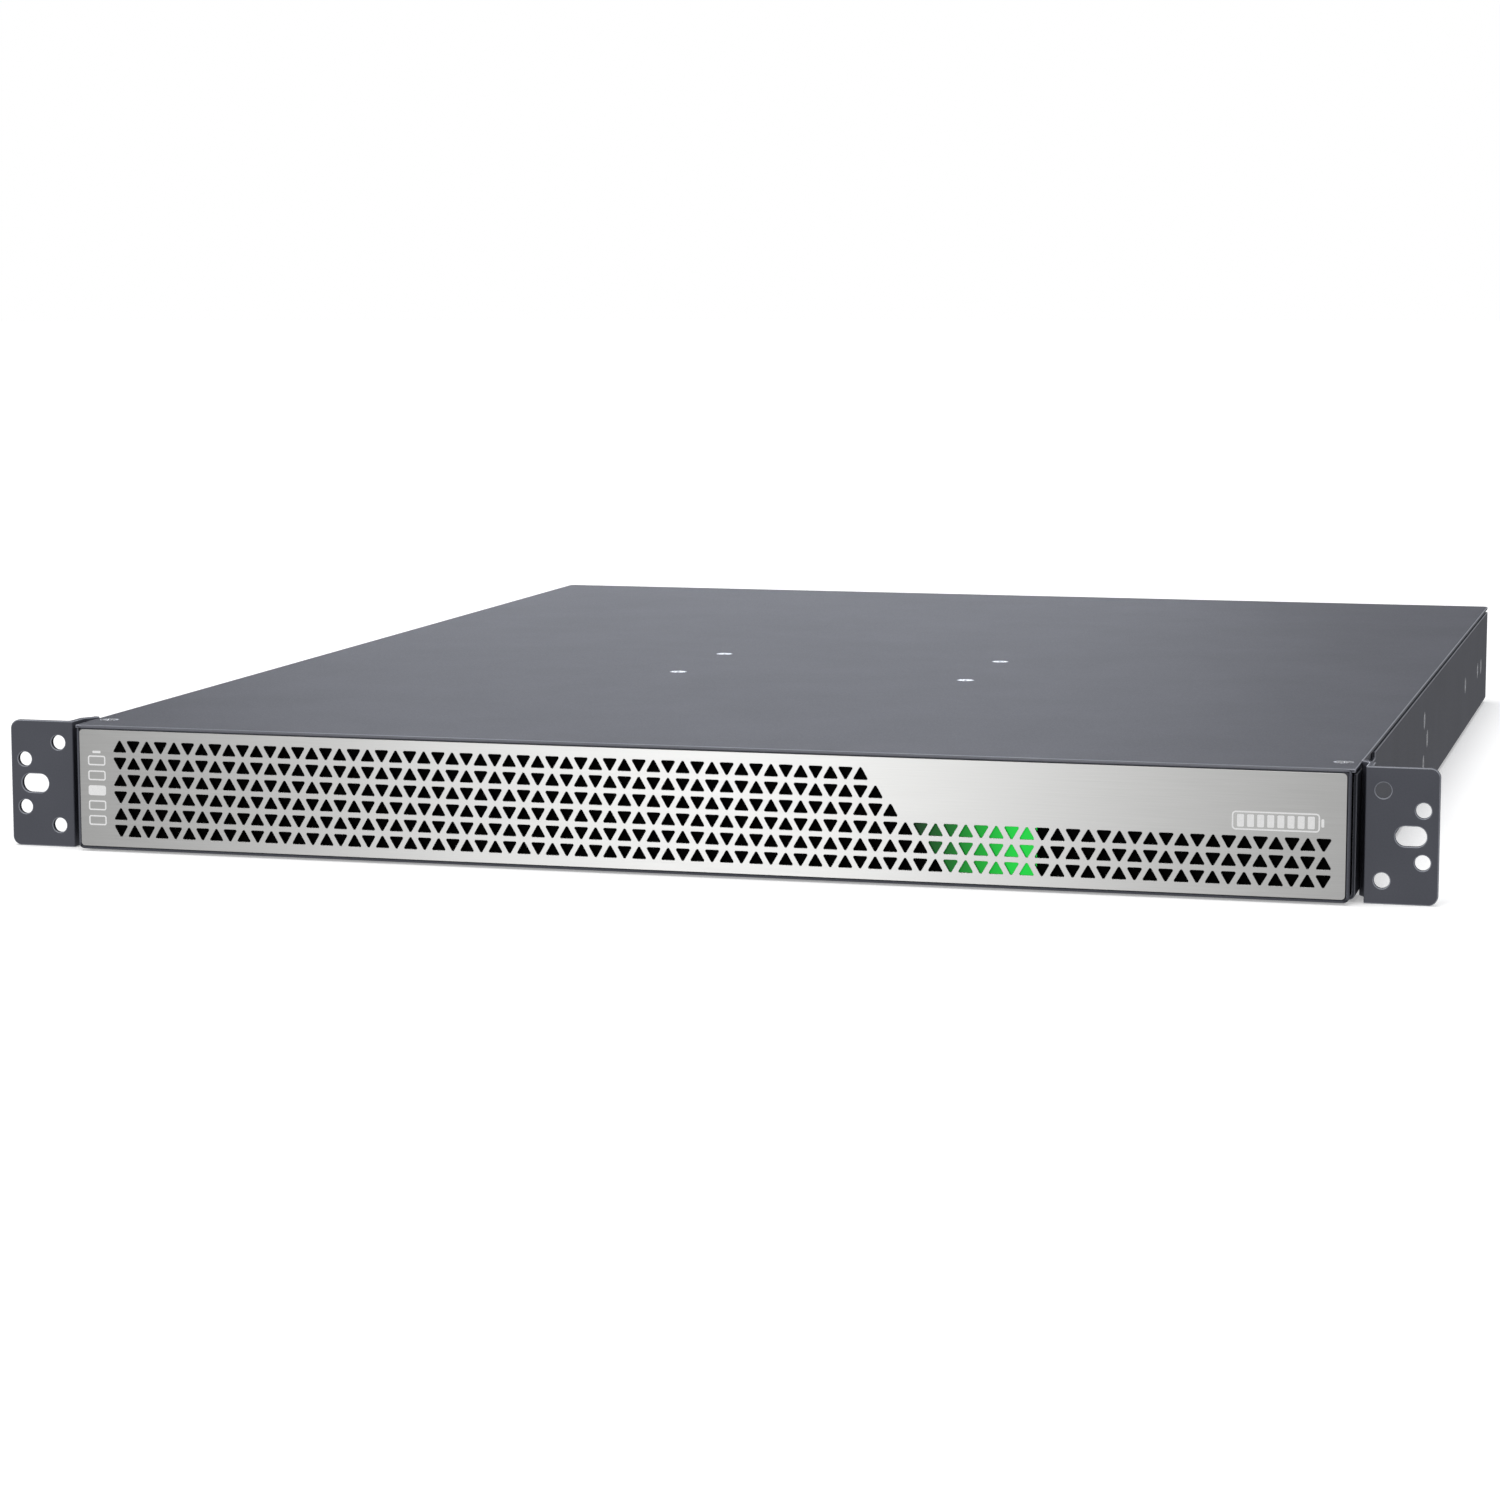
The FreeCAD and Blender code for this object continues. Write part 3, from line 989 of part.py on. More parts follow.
def contactor_and_fuse():
    """Main contactor, and the main fuse standing on two blades."""
    case = block("contactor_case", ("contactor_left", "contactor_right"),
                 ("contactor_front", "contactor_back"), (BOARD_TOP, f"{BOARD_TOP} + contactor_height"))
    groove = block("contactor_groove", ("contactor_left - 6", "contactor_left + 4"),
                   ("contactor_front - 10", "contactor_back + 10"),
                   (f"{BOARD_TOP} + contactor_groove", f"{BOARD_TOP} + contactor_groove + 1"))
    sub_part(cut("contactor", case, [groove]), "main_contactor")
    middle = f"({BOARD_TOP} + fuse_rise)"
    along = ("fuse_along - fuse_blade_width / 2", "fuse_along + fuse_blade_width / 2")
    sheet = (f"{middle} - fuse_blade_sheet / 2", f"{middle} + fuse_blade_sheet / 2")
    link = [rod("fuse_tube", "x", "fuse_radius", "fuse_left + fuse_blade_reach",
                "fuse_right - fuse_blade_reach", ("fuse_along", middle))]
    for end, outer, inner in (("left", "fuse_left", "fuse_left + fuse_blade_reach + 2"),
                              ("right", "fuse_right - fuse_blade_reach - 2", "fuse_right")):
        link.append(block(f"fuse_{end}_blade", (outer, inner), along, sheet))
    for end, low in (("left", "fuse_left"), ("right", "fuse_right - fuse_blade_sheet")):
        link.append(block(f"fuse_{end}_foot", (low, f"{low} + fuse_blade_sheet"), along,
                          (BOARD_TOP, middle)))
    sub_part(fuse("fuse_link", link), "main_fuse")


def feed_bars():
    """Copper bars from the modules to the board, and from the board to the rear sockets."""
    bars = []
    along = "(module_front + module_bank_pitch + module_width)"
    for side, way in SIDES.items():
        across = (f"{way} * feed_across - feed_width / 2", f"{way} * feed_across + feed_width / 2")
        upright = block(f"feed_up_{side}", across, (along, f"{along} + bar_sheet"), (BOARD_TOP, "feed_top"))
        flat = block(f"feed_flat_{side}", across, (along, "feed_back"),
                     (BOARD_TOP, f"{BOARD_TOP} + bar_sheet"))
        bars.append(fuse(f"feed_{side}", [upright, flat]))
    for place in ("power_one", "power_two"):
        for pole, way in POLES:
            centre = f"({place} {way} power_cavity_offset)"
            bars.append(block(f"output_{place}_{pole}",
                              (f"{centre} - output_width / 2", f"{centre} + output_width / 2"),
                              ("output_front", "power_front"), (BOARD_TOP, f"{BOARD_TOP} + bar_sheet")))
    sub_part(gather("power_bars", bars), "power_bars")


def status_cable():
    """Flat cable from the light board along the right wall to the power board."""
    body = new_body("cable_body")
    bend = number("cable_bend")
    path = body.newObject("Sketcher::SketchObject", "cable_path")
    plane = next(item for item in body.Origin.OriginFeatures if item.Role == "XY_Plane")
    path.AttachmentSupport = [(plane, "")]
    path.MapMode = "FlatFace"
    path.setExpression("AttachmentOffset.Base.z", cells("(cable_low + cable_high) / 2"))
    start_x = number("cable_start")
    start_y = number("led_board_face + board_sheet")
    lane_x = number("module_pitch + module_length / 2 + 1.7")
    turn_y = number("cable_turn")
    end_y = number("board_front + 6")
    lines = (((start_x, start_y), (start_x, turn_y - bend)),
             ((start_x + bend, turn_y), (lane_x - bend, turn_y)),
             ((lane_x, turn_y + bend), (lane_x, end_y)))
    for begin, finish in lines:
        path.addGeometry(Part.LineSegment(Vector(*begin, 0), Vector(*finish, 0)), False)
    for centre, from_angle in (((start_x + bend, turn_y - bend), math.pi / 2),
                               ((lane_x - bend, turn_y + bend), -math.pi / 2)):
        ring = Part.Circle(Vector(*centre, 0), Vector(0, 0, 1), bend)
        path.addGeometry(Part.ArcOfCircle(ring, from_angle, from_angle + math.pi / 2), False)
    for first, first_end, second, second_end in ((3, 2, 0, 2), (3, 1, 1, 1), (4, 1, 1, 2), (4, 2, 2, 1)):
        path.addConstraint(Sketcher.Constraint("Coincident", first, first_end, second, second_end))
    section = draw(body, "cable_section", "XZ", "led_board_face + board_sheet",
                   [(rectangle, "cable_start - cable_sheet / 2", "cable_start + cable_sheet / 2",
                     "cable_low", "cable_high")])
    pipe = body.newObject("PartDesign::AdditivePipe", "cable_pipe")
    pipe.Profile = section
    pipe.Spine = (path, [])
    sub_part(body, "status_cable")


# ---------------------------------------------------------------- rear connections

def power_connectors():
    """Two-pole sockets with flat blades, one for the load and one for the next pack."""
    housings = []
    blades = []
    low = "(power_rise - power_height / 2)"
    high = "(power_rise + power_height / 2)"
    cavity_low = "(power_rise - power_cavity_height / 2)"
    cavity_high = "(power_rise + power_cavity_height / 2)"
    for place in ("power_one", "power_two"):
        body = new_body(f"{place}_body")
        pad(body, f"{place}_case", "XZ", "power_front", "power_back",
            (rectangle, f"{place} - power_width / 2", f"{place} + power_width / 2", low, high))
        pad(body, f"{place}_flange", "XZ", REAR_OUTSIDE, f"{REAR_OUTSIDE} + power_flange",
            (rectangle, f"{place} - power_flange_width / 2", f"{place} + power_flange_width / 2",
             "power_rise - power_flange_height / 2", "power_rise + power_flange_height / 2"))
        centres = [f"{place} {way} power_cavity_offset" for pole, way in POLES]
        mouths = [(rectangle, f"{centre} - power_cavity_width / 2", f"{centre} + power_cavity_width / 2",
                   cavity_low, cavity_high) for centre in centres]
        pocket(body, f"{place}_cavities", "XZ", "power_back - power_cavity_depth", "power_back + 1", *mouths)
        pocket(body, f"{place}_screw_holes", "XZ",
               f"{REAR_OUTSIDE} - 1", f"{REAR_OUTSIDE} + power_flange + 1",
               *[(circle, f"{place} {way} {FLANGE_SCREW}", "power_rise", "screw_radius") for way in "+-"])
        pocket(body, f"{place}_key", "XZ", "power_back - power_key_depth", "power_back + 1",
               (rectangle, f"{place} - power_key / 2", f"{place} + power_key / 2",
                f"{high} - 2", f"{high} + 10"))
        tails = [(rectangle, f"{centre} - blade_width / 2", f"{centre} + blade_width / 2",
                  cavity_low, f"{cavity_low} + blade_sheet") for centre in centres]
        pocket(body, f"{place}_tails", "XZ", "power_front - 1", "power_back - power_cavity_depth + 1", *tails)
        housings.append(body)
        for pole, way in POLES:
            centre = f"({place} {way} power_cavity_offset)"
            blades.append(block(f"{place}_blade_{pole}",
                                (f"{centre} - blade_width / 2", f"{centre} + blade_width / 2"),
                                ("power_front + 0.2", "power_back - 5"),
                                (cavity_low, f"{cavity_low} + blade_sheet")))
    sub_part(gather("power_housings", housings), "power_connector_housings")
    sub_part(gather("power_blades", blades), "power_connector_blades")


def comm_ports():
    """Two modular jacks: metal shells around contact wires."""
    shells = []
    wires = []
    top = "(port_rise + port_cavity_height / 2 + 1)"
    low = "(port_rise - port_cavity_height / 2 + 1)"
    steps = (("port_cavity_width / 2", low), ("port_key / 2", low), ("port_key / 2", f"{low} - 1.6"),
             ("port_latch / 2", f"{low} - 1.6"), ("port_latch / 2", f"{low} - 2.8"))
    for place in ("port_one", "port_two"):
        body = new_body(f"{place}_body")
        pad(body, f"{place}_case", "XZ", "port_front", "port_back",
            (rectangle, f"{place} - port_width / 2", f"{place} + port_width / 2",
             "port_rise - port_height / 2", "port_rise + port_height / 2"))
        # the plug's key and latch run in two steps below the mouth
        left = [(f"{place} - {half}", up) for half, up in steps]
        right = [(f"{place} + {half}", up) for half, up in reversed(steps)]
        corners = [(f"{place} - port_cavity_width / 2", top), *left, *right,
                   (f"{place} + port_cavity_width / 2", top)]
        pocket(body, f"{place}_mouth", "XZ", "port_back - port_cavity_depth", "port_back + 1",
               (polygon, *corners))
        shells.append(body)
        count = int(DIMENSIONS["port_wire_count"])
        for index in range(count):
            centre = f"({place} + {index - (count - 1) / 2} * port_wire_pitch)"
            wires.append(block(f"{place}_wire_{index}",
                               (f"{centre} - port_wire / 2", f"{centre} + port_wire / 2"),
                               ("port_back - port_cavity_depth", "port_back - 3"),
                               (f"{top} - port_wire - 0.4", f"{top} - 0.4")))
    sub_part(gather("port_shells", shells), "comm_port_shells")
    sub_part(gather("port_wires", wires), "comm_port_contacts")


def breaker():
    """Battery breaker: a case with a slot, and a toggle that turns on a drum in it."""
    body = new_body("breaker_case_body")
    half_width = "breaker_width / 2"
    pad(body, "breaker_case", "XZ", "breaker_front", REAR_OUTSIDE,
        (rectangle, f"breaker_across - {half_width}", f"breaker_across + {half_width}",
         "-breaker_height / 2", "breaker_height / 2"))
    pad(body, "breaker_face", "XZ", REAR_OUTSIDE, f"{REAR_OUTSIDE} + breaker_flange",
        (rectangle, f"breaker_across - {half_width} - breaker_rim",
         f"breaker_across + {half_width} + breaker_rim",
         "-breaker_height / 2 - breaker_rim", "breaker_height / 2 + breaker_rim"))
    drum_half = "(toggle_width / 2 + drum_gap)"
    room = "(drum_radius + drum_gap)"
    pocket(body, "breaker_drum_room", "YZ", f"breaker_across - {drum_half}", f"breaker_across + {drum_half}",
           (circle, "breaker_pivot", 0, room))
    # the slot opens towards the back at the angle that the toggle needs
    mouth_back = f"{REAR_OUTSIDE} + breaker_flange + 1"
    pocket(body, "breaker_slot", "YZ", f"breaker_across - {drum_half}", f"breaker_across + {drum_half}",
           (polygon, ("breaker_pivot", "-slot_inner / 2"), (mouth_back, "-slot_outer / 2"),
            (mouth_back, "slot_outer / 2"), ("breaker_pivot", "slot_inner / 2")))
    sub_part(body, "breaker_body")
    drum = rod("toggle_drum", "x", "drum_radius", "breaker_across - toggle_width / 2",
               "breaker_across + toggle_width / 2", ("breaker_pivot", 0))
    lever = doc.addObject("Part::Wedge", "toggle_lever")
    # a lever that tapers along its reach, thick at the drum and slim at the tip
    lever.Ymin, lever.Z2min, lever.X2min = 0, 0, 0
    for name, text in (("Xmin", 0), ("Zmin", 0), ("Xmax", "toggle_width"), ("Zmax", "toggle_thick"),
                       ("Ymax", "toggle_reach"), ("X2max", "toggle_width"),
                       ("Z2min", "toggle_thick * (1 - toggle_tip) / 2"),
                       ("Z2max", "toggle_thick * (1 + toggle_tip) / 2")):
        lever.setExpression(name, cells(text))
    lever.Placement = Placement(Vector(0, 0, 0), Rotation(Vector(1, 0, 0), number("toggle_tilt")))
    lever.setExpression("Placement.Base.x", cells("breaker_across - toggle_width / 2"))
    lean = "(dims.toggle_tilt * 1 deg)"
    lever.setExpression("Placement.Base.y", f"dims.breaker_pivot + dims.toggle_thick / 2 * sin{lean}")
    lever.setExpression("Placement.Base.z", f"-dims.toggle_thick / 2 * cos{lean}")
    sub_part(fuse("toggle", [drum, lever]), "breaker_toggle")


def wake_button():
    """Push button that wakes the pack: threaded bush, nut and sprung cap."""
    spot = ("button_across", "button_rise")
    barrel = rod("bush_barrel", "y", "bush_radius", "bush_front", REAR_OUTSIDE, spot)
    nut = rod("bush_nut", "y", "bush_nut", REAR_OUTSIDE, f"{REAR_OUTSIDE} + bush_nut_height", spot)
    bore = rod("bush_bore", "y", "button_radius + button_gap", "button_inner - 1.8",
               f"{REAR_OUTSIDE} + bush_nut_height + 1", spot)
    sub_part(cut("bush", fuse("bush_blank", [barrel, nut]), [bore]), "wake_button_bush")
    cap = new_body("cap_body")
    pad(cap, "cap_pad", "XZ", "button_inner", "button_outer", (circle, *spot, "button_radius"))
    outer = number("button_outer")
    dress(cap, "PartDesign::Fillet", "cap_crown", "Radius", "button_crown",
          lambda edge: abs(edge.BoundBox.YMin - outer) < 1e-3)
    sub_part(cap, "wake_button_cap")


def ground_stud():
    """Earthing stud and its hexagon nut."""
    spot = ("stud_across", "stud_rise")
    stud = rod("stud_shank", "y", "stud_radius", f"{REAR_INSIDE} - 4", f"{REAR_OUTSIDE} + stud_length", spot)
    head = rod("stud_head", "y", "stud_radius + 1.6", f"{REAR_INSIDE} - 1.5", REAR_INSIDE, spot)
    sub_part(fuse("stud", [stud, head]), "ground_stud")
    nut = new_body("nut_body")
    radius = number("nut_across_flats") / math.sqrt(3)
    centre = (number("stud_across"), number("stud_rise"))
    corners = [(centre[0] + radius * math.cos(math.radians(60 * side)),
                centre[1] + radius * math.sin(math.radians(60 * side))) for side in range(6)]
    pad(nut, "nut_pad", "XZ", REAR_OUTSIDE, f"{REAR_OUTSIDE} + nut_height", (polygon, *corners))
    pocket(nut, "nut_bore", "XZ", f"{REAR_OUTSIDE} - 1", f"{REAR_OUTSIDE} + nut_height + 1",
           (circle, *spot, "stud_radius"))
    sub_part(nut, "ground_nut")


def fans():
    """Two axial fans: frames, bladed rotors and wire guards."""
    frames = []
    guards = []
    back = f"({REAR_INSIDE} - 0.2)"
    front = f"({back} - fan_depth)"
    for side, place in (("right", "fan_one"), ("left", "fan_two")):
        half = "fan_size / 2"
        shell = block(f"{side}_fan_block", (f"{place} - {half}", f"{place} + {half}"), (front, back),
                      (f"-{half}", half))
        bore = rod(f"{side}_fan_bore", "y", "fan_bore", f"{front} - 1", f"{back} + 1", (place, 0))
        corners = [rod(f"{side}_fan_hole_{index}", "y", "screw_radius + 0.2", f"{front} - 1", f"{back} + 1",
                       (f"{place} {way} fan_hole_pitch", f"{up} * fan_hole_pitch"))
                   for index, (way, up) in enumerate((("+", 1), ("+", -1), ("-", 1), ("-", -1)))]
        ring = cut(f"{side}_fan_ring", shell, [bore] + corners)
        base = rod(f"{side}_fan_base", "y", "fan_hub - 0.5", f"{back} - 2", back, (place, 0))
        struts = [block(f"{side}_strut_flat", (f"{place} - fan_bore - 0.5", f"{place} + fan_bore + 0.5"),
                        (f"{back} - 2", back), ("-fan_strut / 2", "fan_strut / 2")),
                  block(f"{side}_strut_tall", (f"{place} - fan_strut / 2", f"{place} + fan_strut / 2"),
                        (f"{back} - 2", back), ("-fan_bore - 0.5", "fan_bore + 0.5"))]
        tube = rod(f"{side}_bearing_tube", "y", "fan_bearing", f"{front} + 8", f"{back} - 1", (place, 0))
        solid = fuse(f"{side}_fan_solid", [ring, base, tube] + struts)
        shaft_hole = rod(f"{side}_shaft_hole", "y", "fan_shaft + 0.05", front, f"{back} - 1.2", (place, 0))
        frames.append(cut(f"{side}_fan_frame", solid, [shaft_hole]))
        rotor(side, place, front, back)
        guards.append(guard(side, place))
    sub_part(gather("fan_frame_pair", frames), "fan_frames")
    sub_part(gather("guard_pair", guards), "fan_guards")


def rotor(side, place, front, back):
    """Cup-shaped hub on a shaft, with inclined blades trimmed to the tip circle."""
    cup = rod(f"{side}_hub_blank", "y", "fan_hub", f"{front} + 1.5", f"{back} - 4", (place, 0))
    room = rod(f"{side}_hub_room", "y", "fan_bearing + 1", f"{front} + 5", back, (place, 0))
    hub = cut(f"{side}_hub", cup, [room])
    shaft = rod(f"{side}_shaft", "y", "fan_shaft", f"{front} + 4", f"{back} - 1.6", (place, 0))
    blades = []
    count = int(DIMENSIONS["fan_blades"])
    middle = number(f"{front} + 12.5")
    for index in range(count):
        blade = doc.addObject("Part::Box", f"{side}_blade_{index}")
        blade.setExpression("Length", cells("fan_tip + 1 - fan_hub + 1"))
        blade.setExpression("Width", cells("fan_blade_chord"))
        blade.setExpression("Height", cells("fan_blade_sheet"))
        pitch = Placement(Vector(), Rotation(Vector(1, 0, 0), number("fan_blade_angle")))
        corner = Vector(number("fan_hub - 1"), number("-fan_blade_chord / 2"), number("-fan_blade_sheet / 2"))
        offset = Placement(corner, Rotation())
        around = Placement(Vector(number(place), middle, 0), Rotation(Vector(0, 1, 0), 360 * index / count))
        blade.Placement = around.multiply(pitch).multiply(offset)
        blades.append(blade)
    trim = rod(f"{side}_tip_circle", "y", "fan_tip", f"{front} + 1.5", f"{back} - 4", (place, 0))
    trimmed = doc.addObject("Part::Common", f"{side}_blades")
    trimmed.Base = fuse(f"{side}_blade_set", blades)
    trimmed.Tool = trim
    root = rod(f"{side}_blade_root", "y", "fan_hub - 0.5", front, back, (place, 0))
    outside = cut(f"{side}_blade_ring", trimmed, [root])
    sub_part(fuse(f"{side}_rotor", [hub, shaft, outside]), f"{side}_fan_rotor")


def guard(side, place):
    """Finger guard of round wire: three rings, a cross and four screw eyes."""
    level = f"({REAR_OUTSIDE} + guard_wire)"
    wires = []
    for index in range(int(DIMENSIONS["guard_ring_count"])):
        ring = doc.addObject("Part::Torus", f"{side}_guard_ring_{index}")
        ring.setExpression("Radius1", cells(f"guard_ring_first + {index} * guard_ring_pitch"))
        ring.setExpression("Radius2", cells("guard_wire"))
        ring.Placement = Placement(Vector(), TURNS["y"])
        ring.setExpression("Placement.Base.x", cells(place))
        ring.setExpression("Placement.Base.y", cells(level))
        wires.append(ring)
    reach = number("fan_hole_pitch") * math.sqrt(2)
    for index in range(2):
        angle = 45 + 90 * index
        wire = doc.addObject("Part::Cylinder", f"{side}_guard_wire_{index}")
        wire.setExpression("Radius", cells("guard_wire * 0.98"))
        wire.Height = 2 * reach - 5
        turn = Rotation(Vector(0, 1, 0), angle)
        base = turn.multVec(Vector(0, 0, -wire.Height.Value / 2))
        wire.Placement = Placement(base + Vector(number(place), number(level), 0), turn)
        wires.append(wire)
    eyes = []
    for index, (way, up) in enumerate((("+", 1), ("+", -1), ("-", 1), ("-", -1))):
        spot = (f"{place} {way} fan_hole_pitch", f"{up} * fan_hole_pitch")
        wires.append(rod(f"{side}_eye_{index}", "y", "pan_head + 0.2", REAR_OUTSIDE,
                         f"{REAR_OUTSIDE} + 2 * guard_wire", spot))
        eyes.append(rod(f"{side}_eye_hole_{index}", "y", "screw_radius + 0.1", f"{REAR_OUTSIDE} - 1",
                        f"{REAR_OUTSIDE} + 2 * guard_wire + 1", spot))
    return cut(f"{side}_guard", fuse(f"{side}_guard_blank", wires), eyes)


# ---------------------------------------------------------------- assembly

chassis_tray()
top_cover()
for side_name, side_way in SIDES.items():
    rack_ear(side_name, side_way)
front_panel()
rear_panel()
fasteners()
bezel_frame()
bezel_faceplate()
filter_and_guide()
snap_fixings()
status_lights()
battery_modules()
link_bars()
brace()
power_board()
switching_stage()
contactor_and_fuse()
feed_bars()
status_cable()
power_connectors()
comm_ports()
breaker()
wake_button()
ground_stud()
fans()
doc.recompute()

for item in doc.Objects:
    if "Invalid" in item.State or "Error" in item.State:
        raise RuntimeError(f"{item.Name} failed: {item.State}")
for item in SUB_PARTS:
    if item.Shape.isNull() or not item.Shape.isValid():
        raise RuntimeError(f"{item.Label} has no valid shape")

os.makedirs("parts", exist_ok=True)
for item in SUB_PARTS:
    item.Shape.exportStep(f"parts/{item.Label}.step")
print(len(SUB_PARTS), "sub-parts written")
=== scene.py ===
import json
import math

import bmesh
import bpy
from mathutils import Matrix, Vector


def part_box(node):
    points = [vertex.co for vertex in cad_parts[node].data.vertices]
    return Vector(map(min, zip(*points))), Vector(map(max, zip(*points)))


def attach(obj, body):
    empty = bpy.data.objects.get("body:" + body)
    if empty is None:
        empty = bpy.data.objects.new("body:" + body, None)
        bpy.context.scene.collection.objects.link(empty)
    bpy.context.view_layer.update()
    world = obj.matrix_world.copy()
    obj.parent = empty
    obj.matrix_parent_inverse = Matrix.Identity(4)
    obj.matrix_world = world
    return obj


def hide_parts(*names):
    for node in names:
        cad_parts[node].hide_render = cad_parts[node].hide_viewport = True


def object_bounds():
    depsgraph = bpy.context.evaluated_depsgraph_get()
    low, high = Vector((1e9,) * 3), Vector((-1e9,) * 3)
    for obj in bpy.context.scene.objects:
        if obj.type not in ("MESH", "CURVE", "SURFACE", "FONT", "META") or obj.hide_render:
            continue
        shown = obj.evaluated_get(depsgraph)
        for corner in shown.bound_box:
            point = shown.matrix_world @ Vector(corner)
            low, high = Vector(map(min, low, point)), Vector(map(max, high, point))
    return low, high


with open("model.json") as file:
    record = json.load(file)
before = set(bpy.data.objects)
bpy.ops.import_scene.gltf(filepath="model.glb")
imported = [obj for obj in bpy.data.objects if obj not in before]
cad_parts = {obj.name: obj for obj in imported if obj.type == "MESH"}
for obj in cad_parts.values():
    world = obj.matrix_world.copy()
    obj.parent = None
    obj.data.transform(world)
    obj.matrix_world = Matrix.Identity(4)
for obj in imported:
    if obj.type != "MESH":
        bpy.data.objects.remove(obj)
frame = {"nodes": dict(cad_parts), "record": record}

# Rack-mounted lithium-ion battery pack, one rack unit high.
# X runs to the right seen from the front, Y into the cabinet, Z up, in metres.

MM = 0.001
bpy.context.view_layer.update()
CAD_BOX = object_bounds()
NODES = frame["nodes"]
BODY_OF = {name: body for body, names in frame["record"]["behaviour"]["bodies"].items() for name in names}


# ---------------------------------------------------------------- camera, floor and light

CAMERA_PLACE = Vector((0.3383, -1.1929, 0.1830))
CAMERA_YAW = 0.2607      # turned to the left, in radians
CAMERA_PITCH = 0.1313    # looking down
LENS_MM = 92.22
SENSOR_MM = 36
FLOOR_SIZE = 9.0
FLOOR_DROP = 0.1 * MM
FLOOR_GLOW = 0.3
ROOM_LIGHT = 0.37        # how much the white room lights the pack, next to how white it looks
OVERHEAD_STRENGTH = 1.6
OVERHEAD_SPREAD = math.radians(40)
OVERHEAD_TILT = math.radians(6)
COOL_WHITE = "#EEF3FF"

# name, place, target, width and height in metres, watts
FRONT_LAMPS = (("wide_front_lamp", (-0.5, -2.5, 0.7), (0, 0, 0), 2.0, 1.2, 1.8),
               ("narrow_front_lamp", (-0.56, -2.1, 0.45), (0, 0, 0), 0.30, 0.9, 18))
SIDE_AND_REAR_LAMPS = (("side_lamp", (2.4, 0.9, 0.9), (0.2, 0.3, 0), 0.5, 1.4, 9),
                       ("rear_lamp", (-0.9, 3.3, 0.5), (0, 0.3, 0), 1.3, 0.7, 10))


def set_camera():
    """Stands to the right of the pack's front and looks a little down at it."""
    data = bpy.data.cameras.new("studio_camera")
    data.lens = LENS_MM
    data.sensor_width = SENSOR_MM
    data.clip_start = 0.05
    data.clip_end = 60
    camera = bpy.data.objects.new("studio_camera", data)
    bpy.context.scene.collection.objects.link(camera)
    level = math.cos(CAMERA_PITCH)
    forward = Vector((-math.sin(CAMERA_YAW) * level, math.cos(CAMERA_YAW) * level, -math.sin(CAMERA_PITCH)))
    camera.location = CAMERA_PLACE
    camera.rotation_euler = forward.to_track_quat("-Z", "Y").to_euler()
    bpy.context.scene.camera = camera


def soft_box(name, place, target, width, height, watts):
    """Rectangular studio lamp that faces its target."""
    data = bpy.data.lights.new(name, "AREA")
    data.shape = "RECTANGLE"
    data.size = width
    data.size_y = height
    data.energy = watts
    lamp = bpy.data.objects.new(name, data)
    bpy.context.scene.collection.objects.link(lamp)
    lamp.location = place
    lamp.rotation_euler = (Vector(target) - Vector(place)).to_track_quat("-Z", "Y").to_euler()
    return lamp


def set_light():
    """White room that lights less than it shows, soft light from above, and lamps that the metal mirrors."""
    scene = bpy.context.scene
    scene.view_settings.view_transform = "Standard"
    scene.world = bpy.data.worlds.new("white_room")
    scene.world.use_nodes = True
    tree = scene.world.node_tree
    background = tree.nodes["Background"]
    background.inputs["Color"].default_value = (1, 1, 1, 1)
    ray = add(tree, "LightPath")
    seen = add(tree, "MapRange", {"To Min": ROOM_LIGHT, "To Max": 1.0},
               {"Value": ray.outputs["Is Camera Ray"]})
    tree.links.new(seen.outputs["Result"], background.inputs["Strength"])
    data = bpy.data.lights.new("overhead_light", "SUN")
    data.energy = OVERHEAD_STRENGTH
    data.angle = OVERHEAD_SPREAD
    overhead = bpy.data.objects.new("overhead_light", data)
    scene.collection.objects.link(overhead)
    overhead.rotation_euler = (OVERHEAD_TILT, -OVERHEAD_TILT, 0)
    for settings in FRONT_LAMPS:
        soft_box(*settings)
    for settings in SIDE_AND_REAR_LAMPS:
        lamp = soft_box(*settings)
        lamp.visible_camera = False
        lamp.data.color = linear(COOL_WHITE)[:3]


# ---------------------------------------------------------------- materials

def linear(hex_colour):
    """The linear colour of an sRGB hex value, as the shader sockets hold it."""
    parts = [int(hex_colour[i:i + 2], 16) / 255 for i in (1, 3, 5)]
    return (*[p / 12.92 if p <= 0.04045 else ((p + 0.055) / 1.055) ** 2.4 for p in parts], 1.0)


def per(millimetres):
    """Texture scale that repeats once in so many millimetres."""
    return 1000 / millimetres


def add(tree, kind, values=None, links=None, **settings):
    """Adds a node with its settings, the values of its free sockets and the links into it."""
    made = tree.nodes.new("ShaderNode" + kind)
    for name, value in settings.items():
        setattr(made, name, value)
    for socket, value in (values or {}).items():
        made.inputs[socket].default_value = value
    for socket, source in (links or {}).items():
        tree.links.new(source, made.inputs[socket])
    return made


def new_material(name, **sockets):
    """A material with its Principled shader's plain values set, and its tree and shader."""
    material = bpy.data.materials.new(name)
    material.use_nodes = True
    tree = material.node_tree
    shader = tree.nodes["Principled BSDF"]
    for socket, value in sockets.items():
        shader.inputs[socket.replace("_", " ")].default_value = value
    return material, tree, shader


def grain(tree, size, stretch=(1, 1, 1), detail=3, roughness=0.55):
    """Noise in the object's own coordinates, with grains of that size in millimetres."""
    place = add(tree, "TexCoord")
    scaled = add(tree, "Mapping", {"Scale": stretch}, {"Vector": place.outputs["Object"]})
    return add(tree, "TexNoise", {"Scale": per(size), "Detail": detail, "Roughness": roughness},
               {"Vector": scaled.outputs["Vector"]})


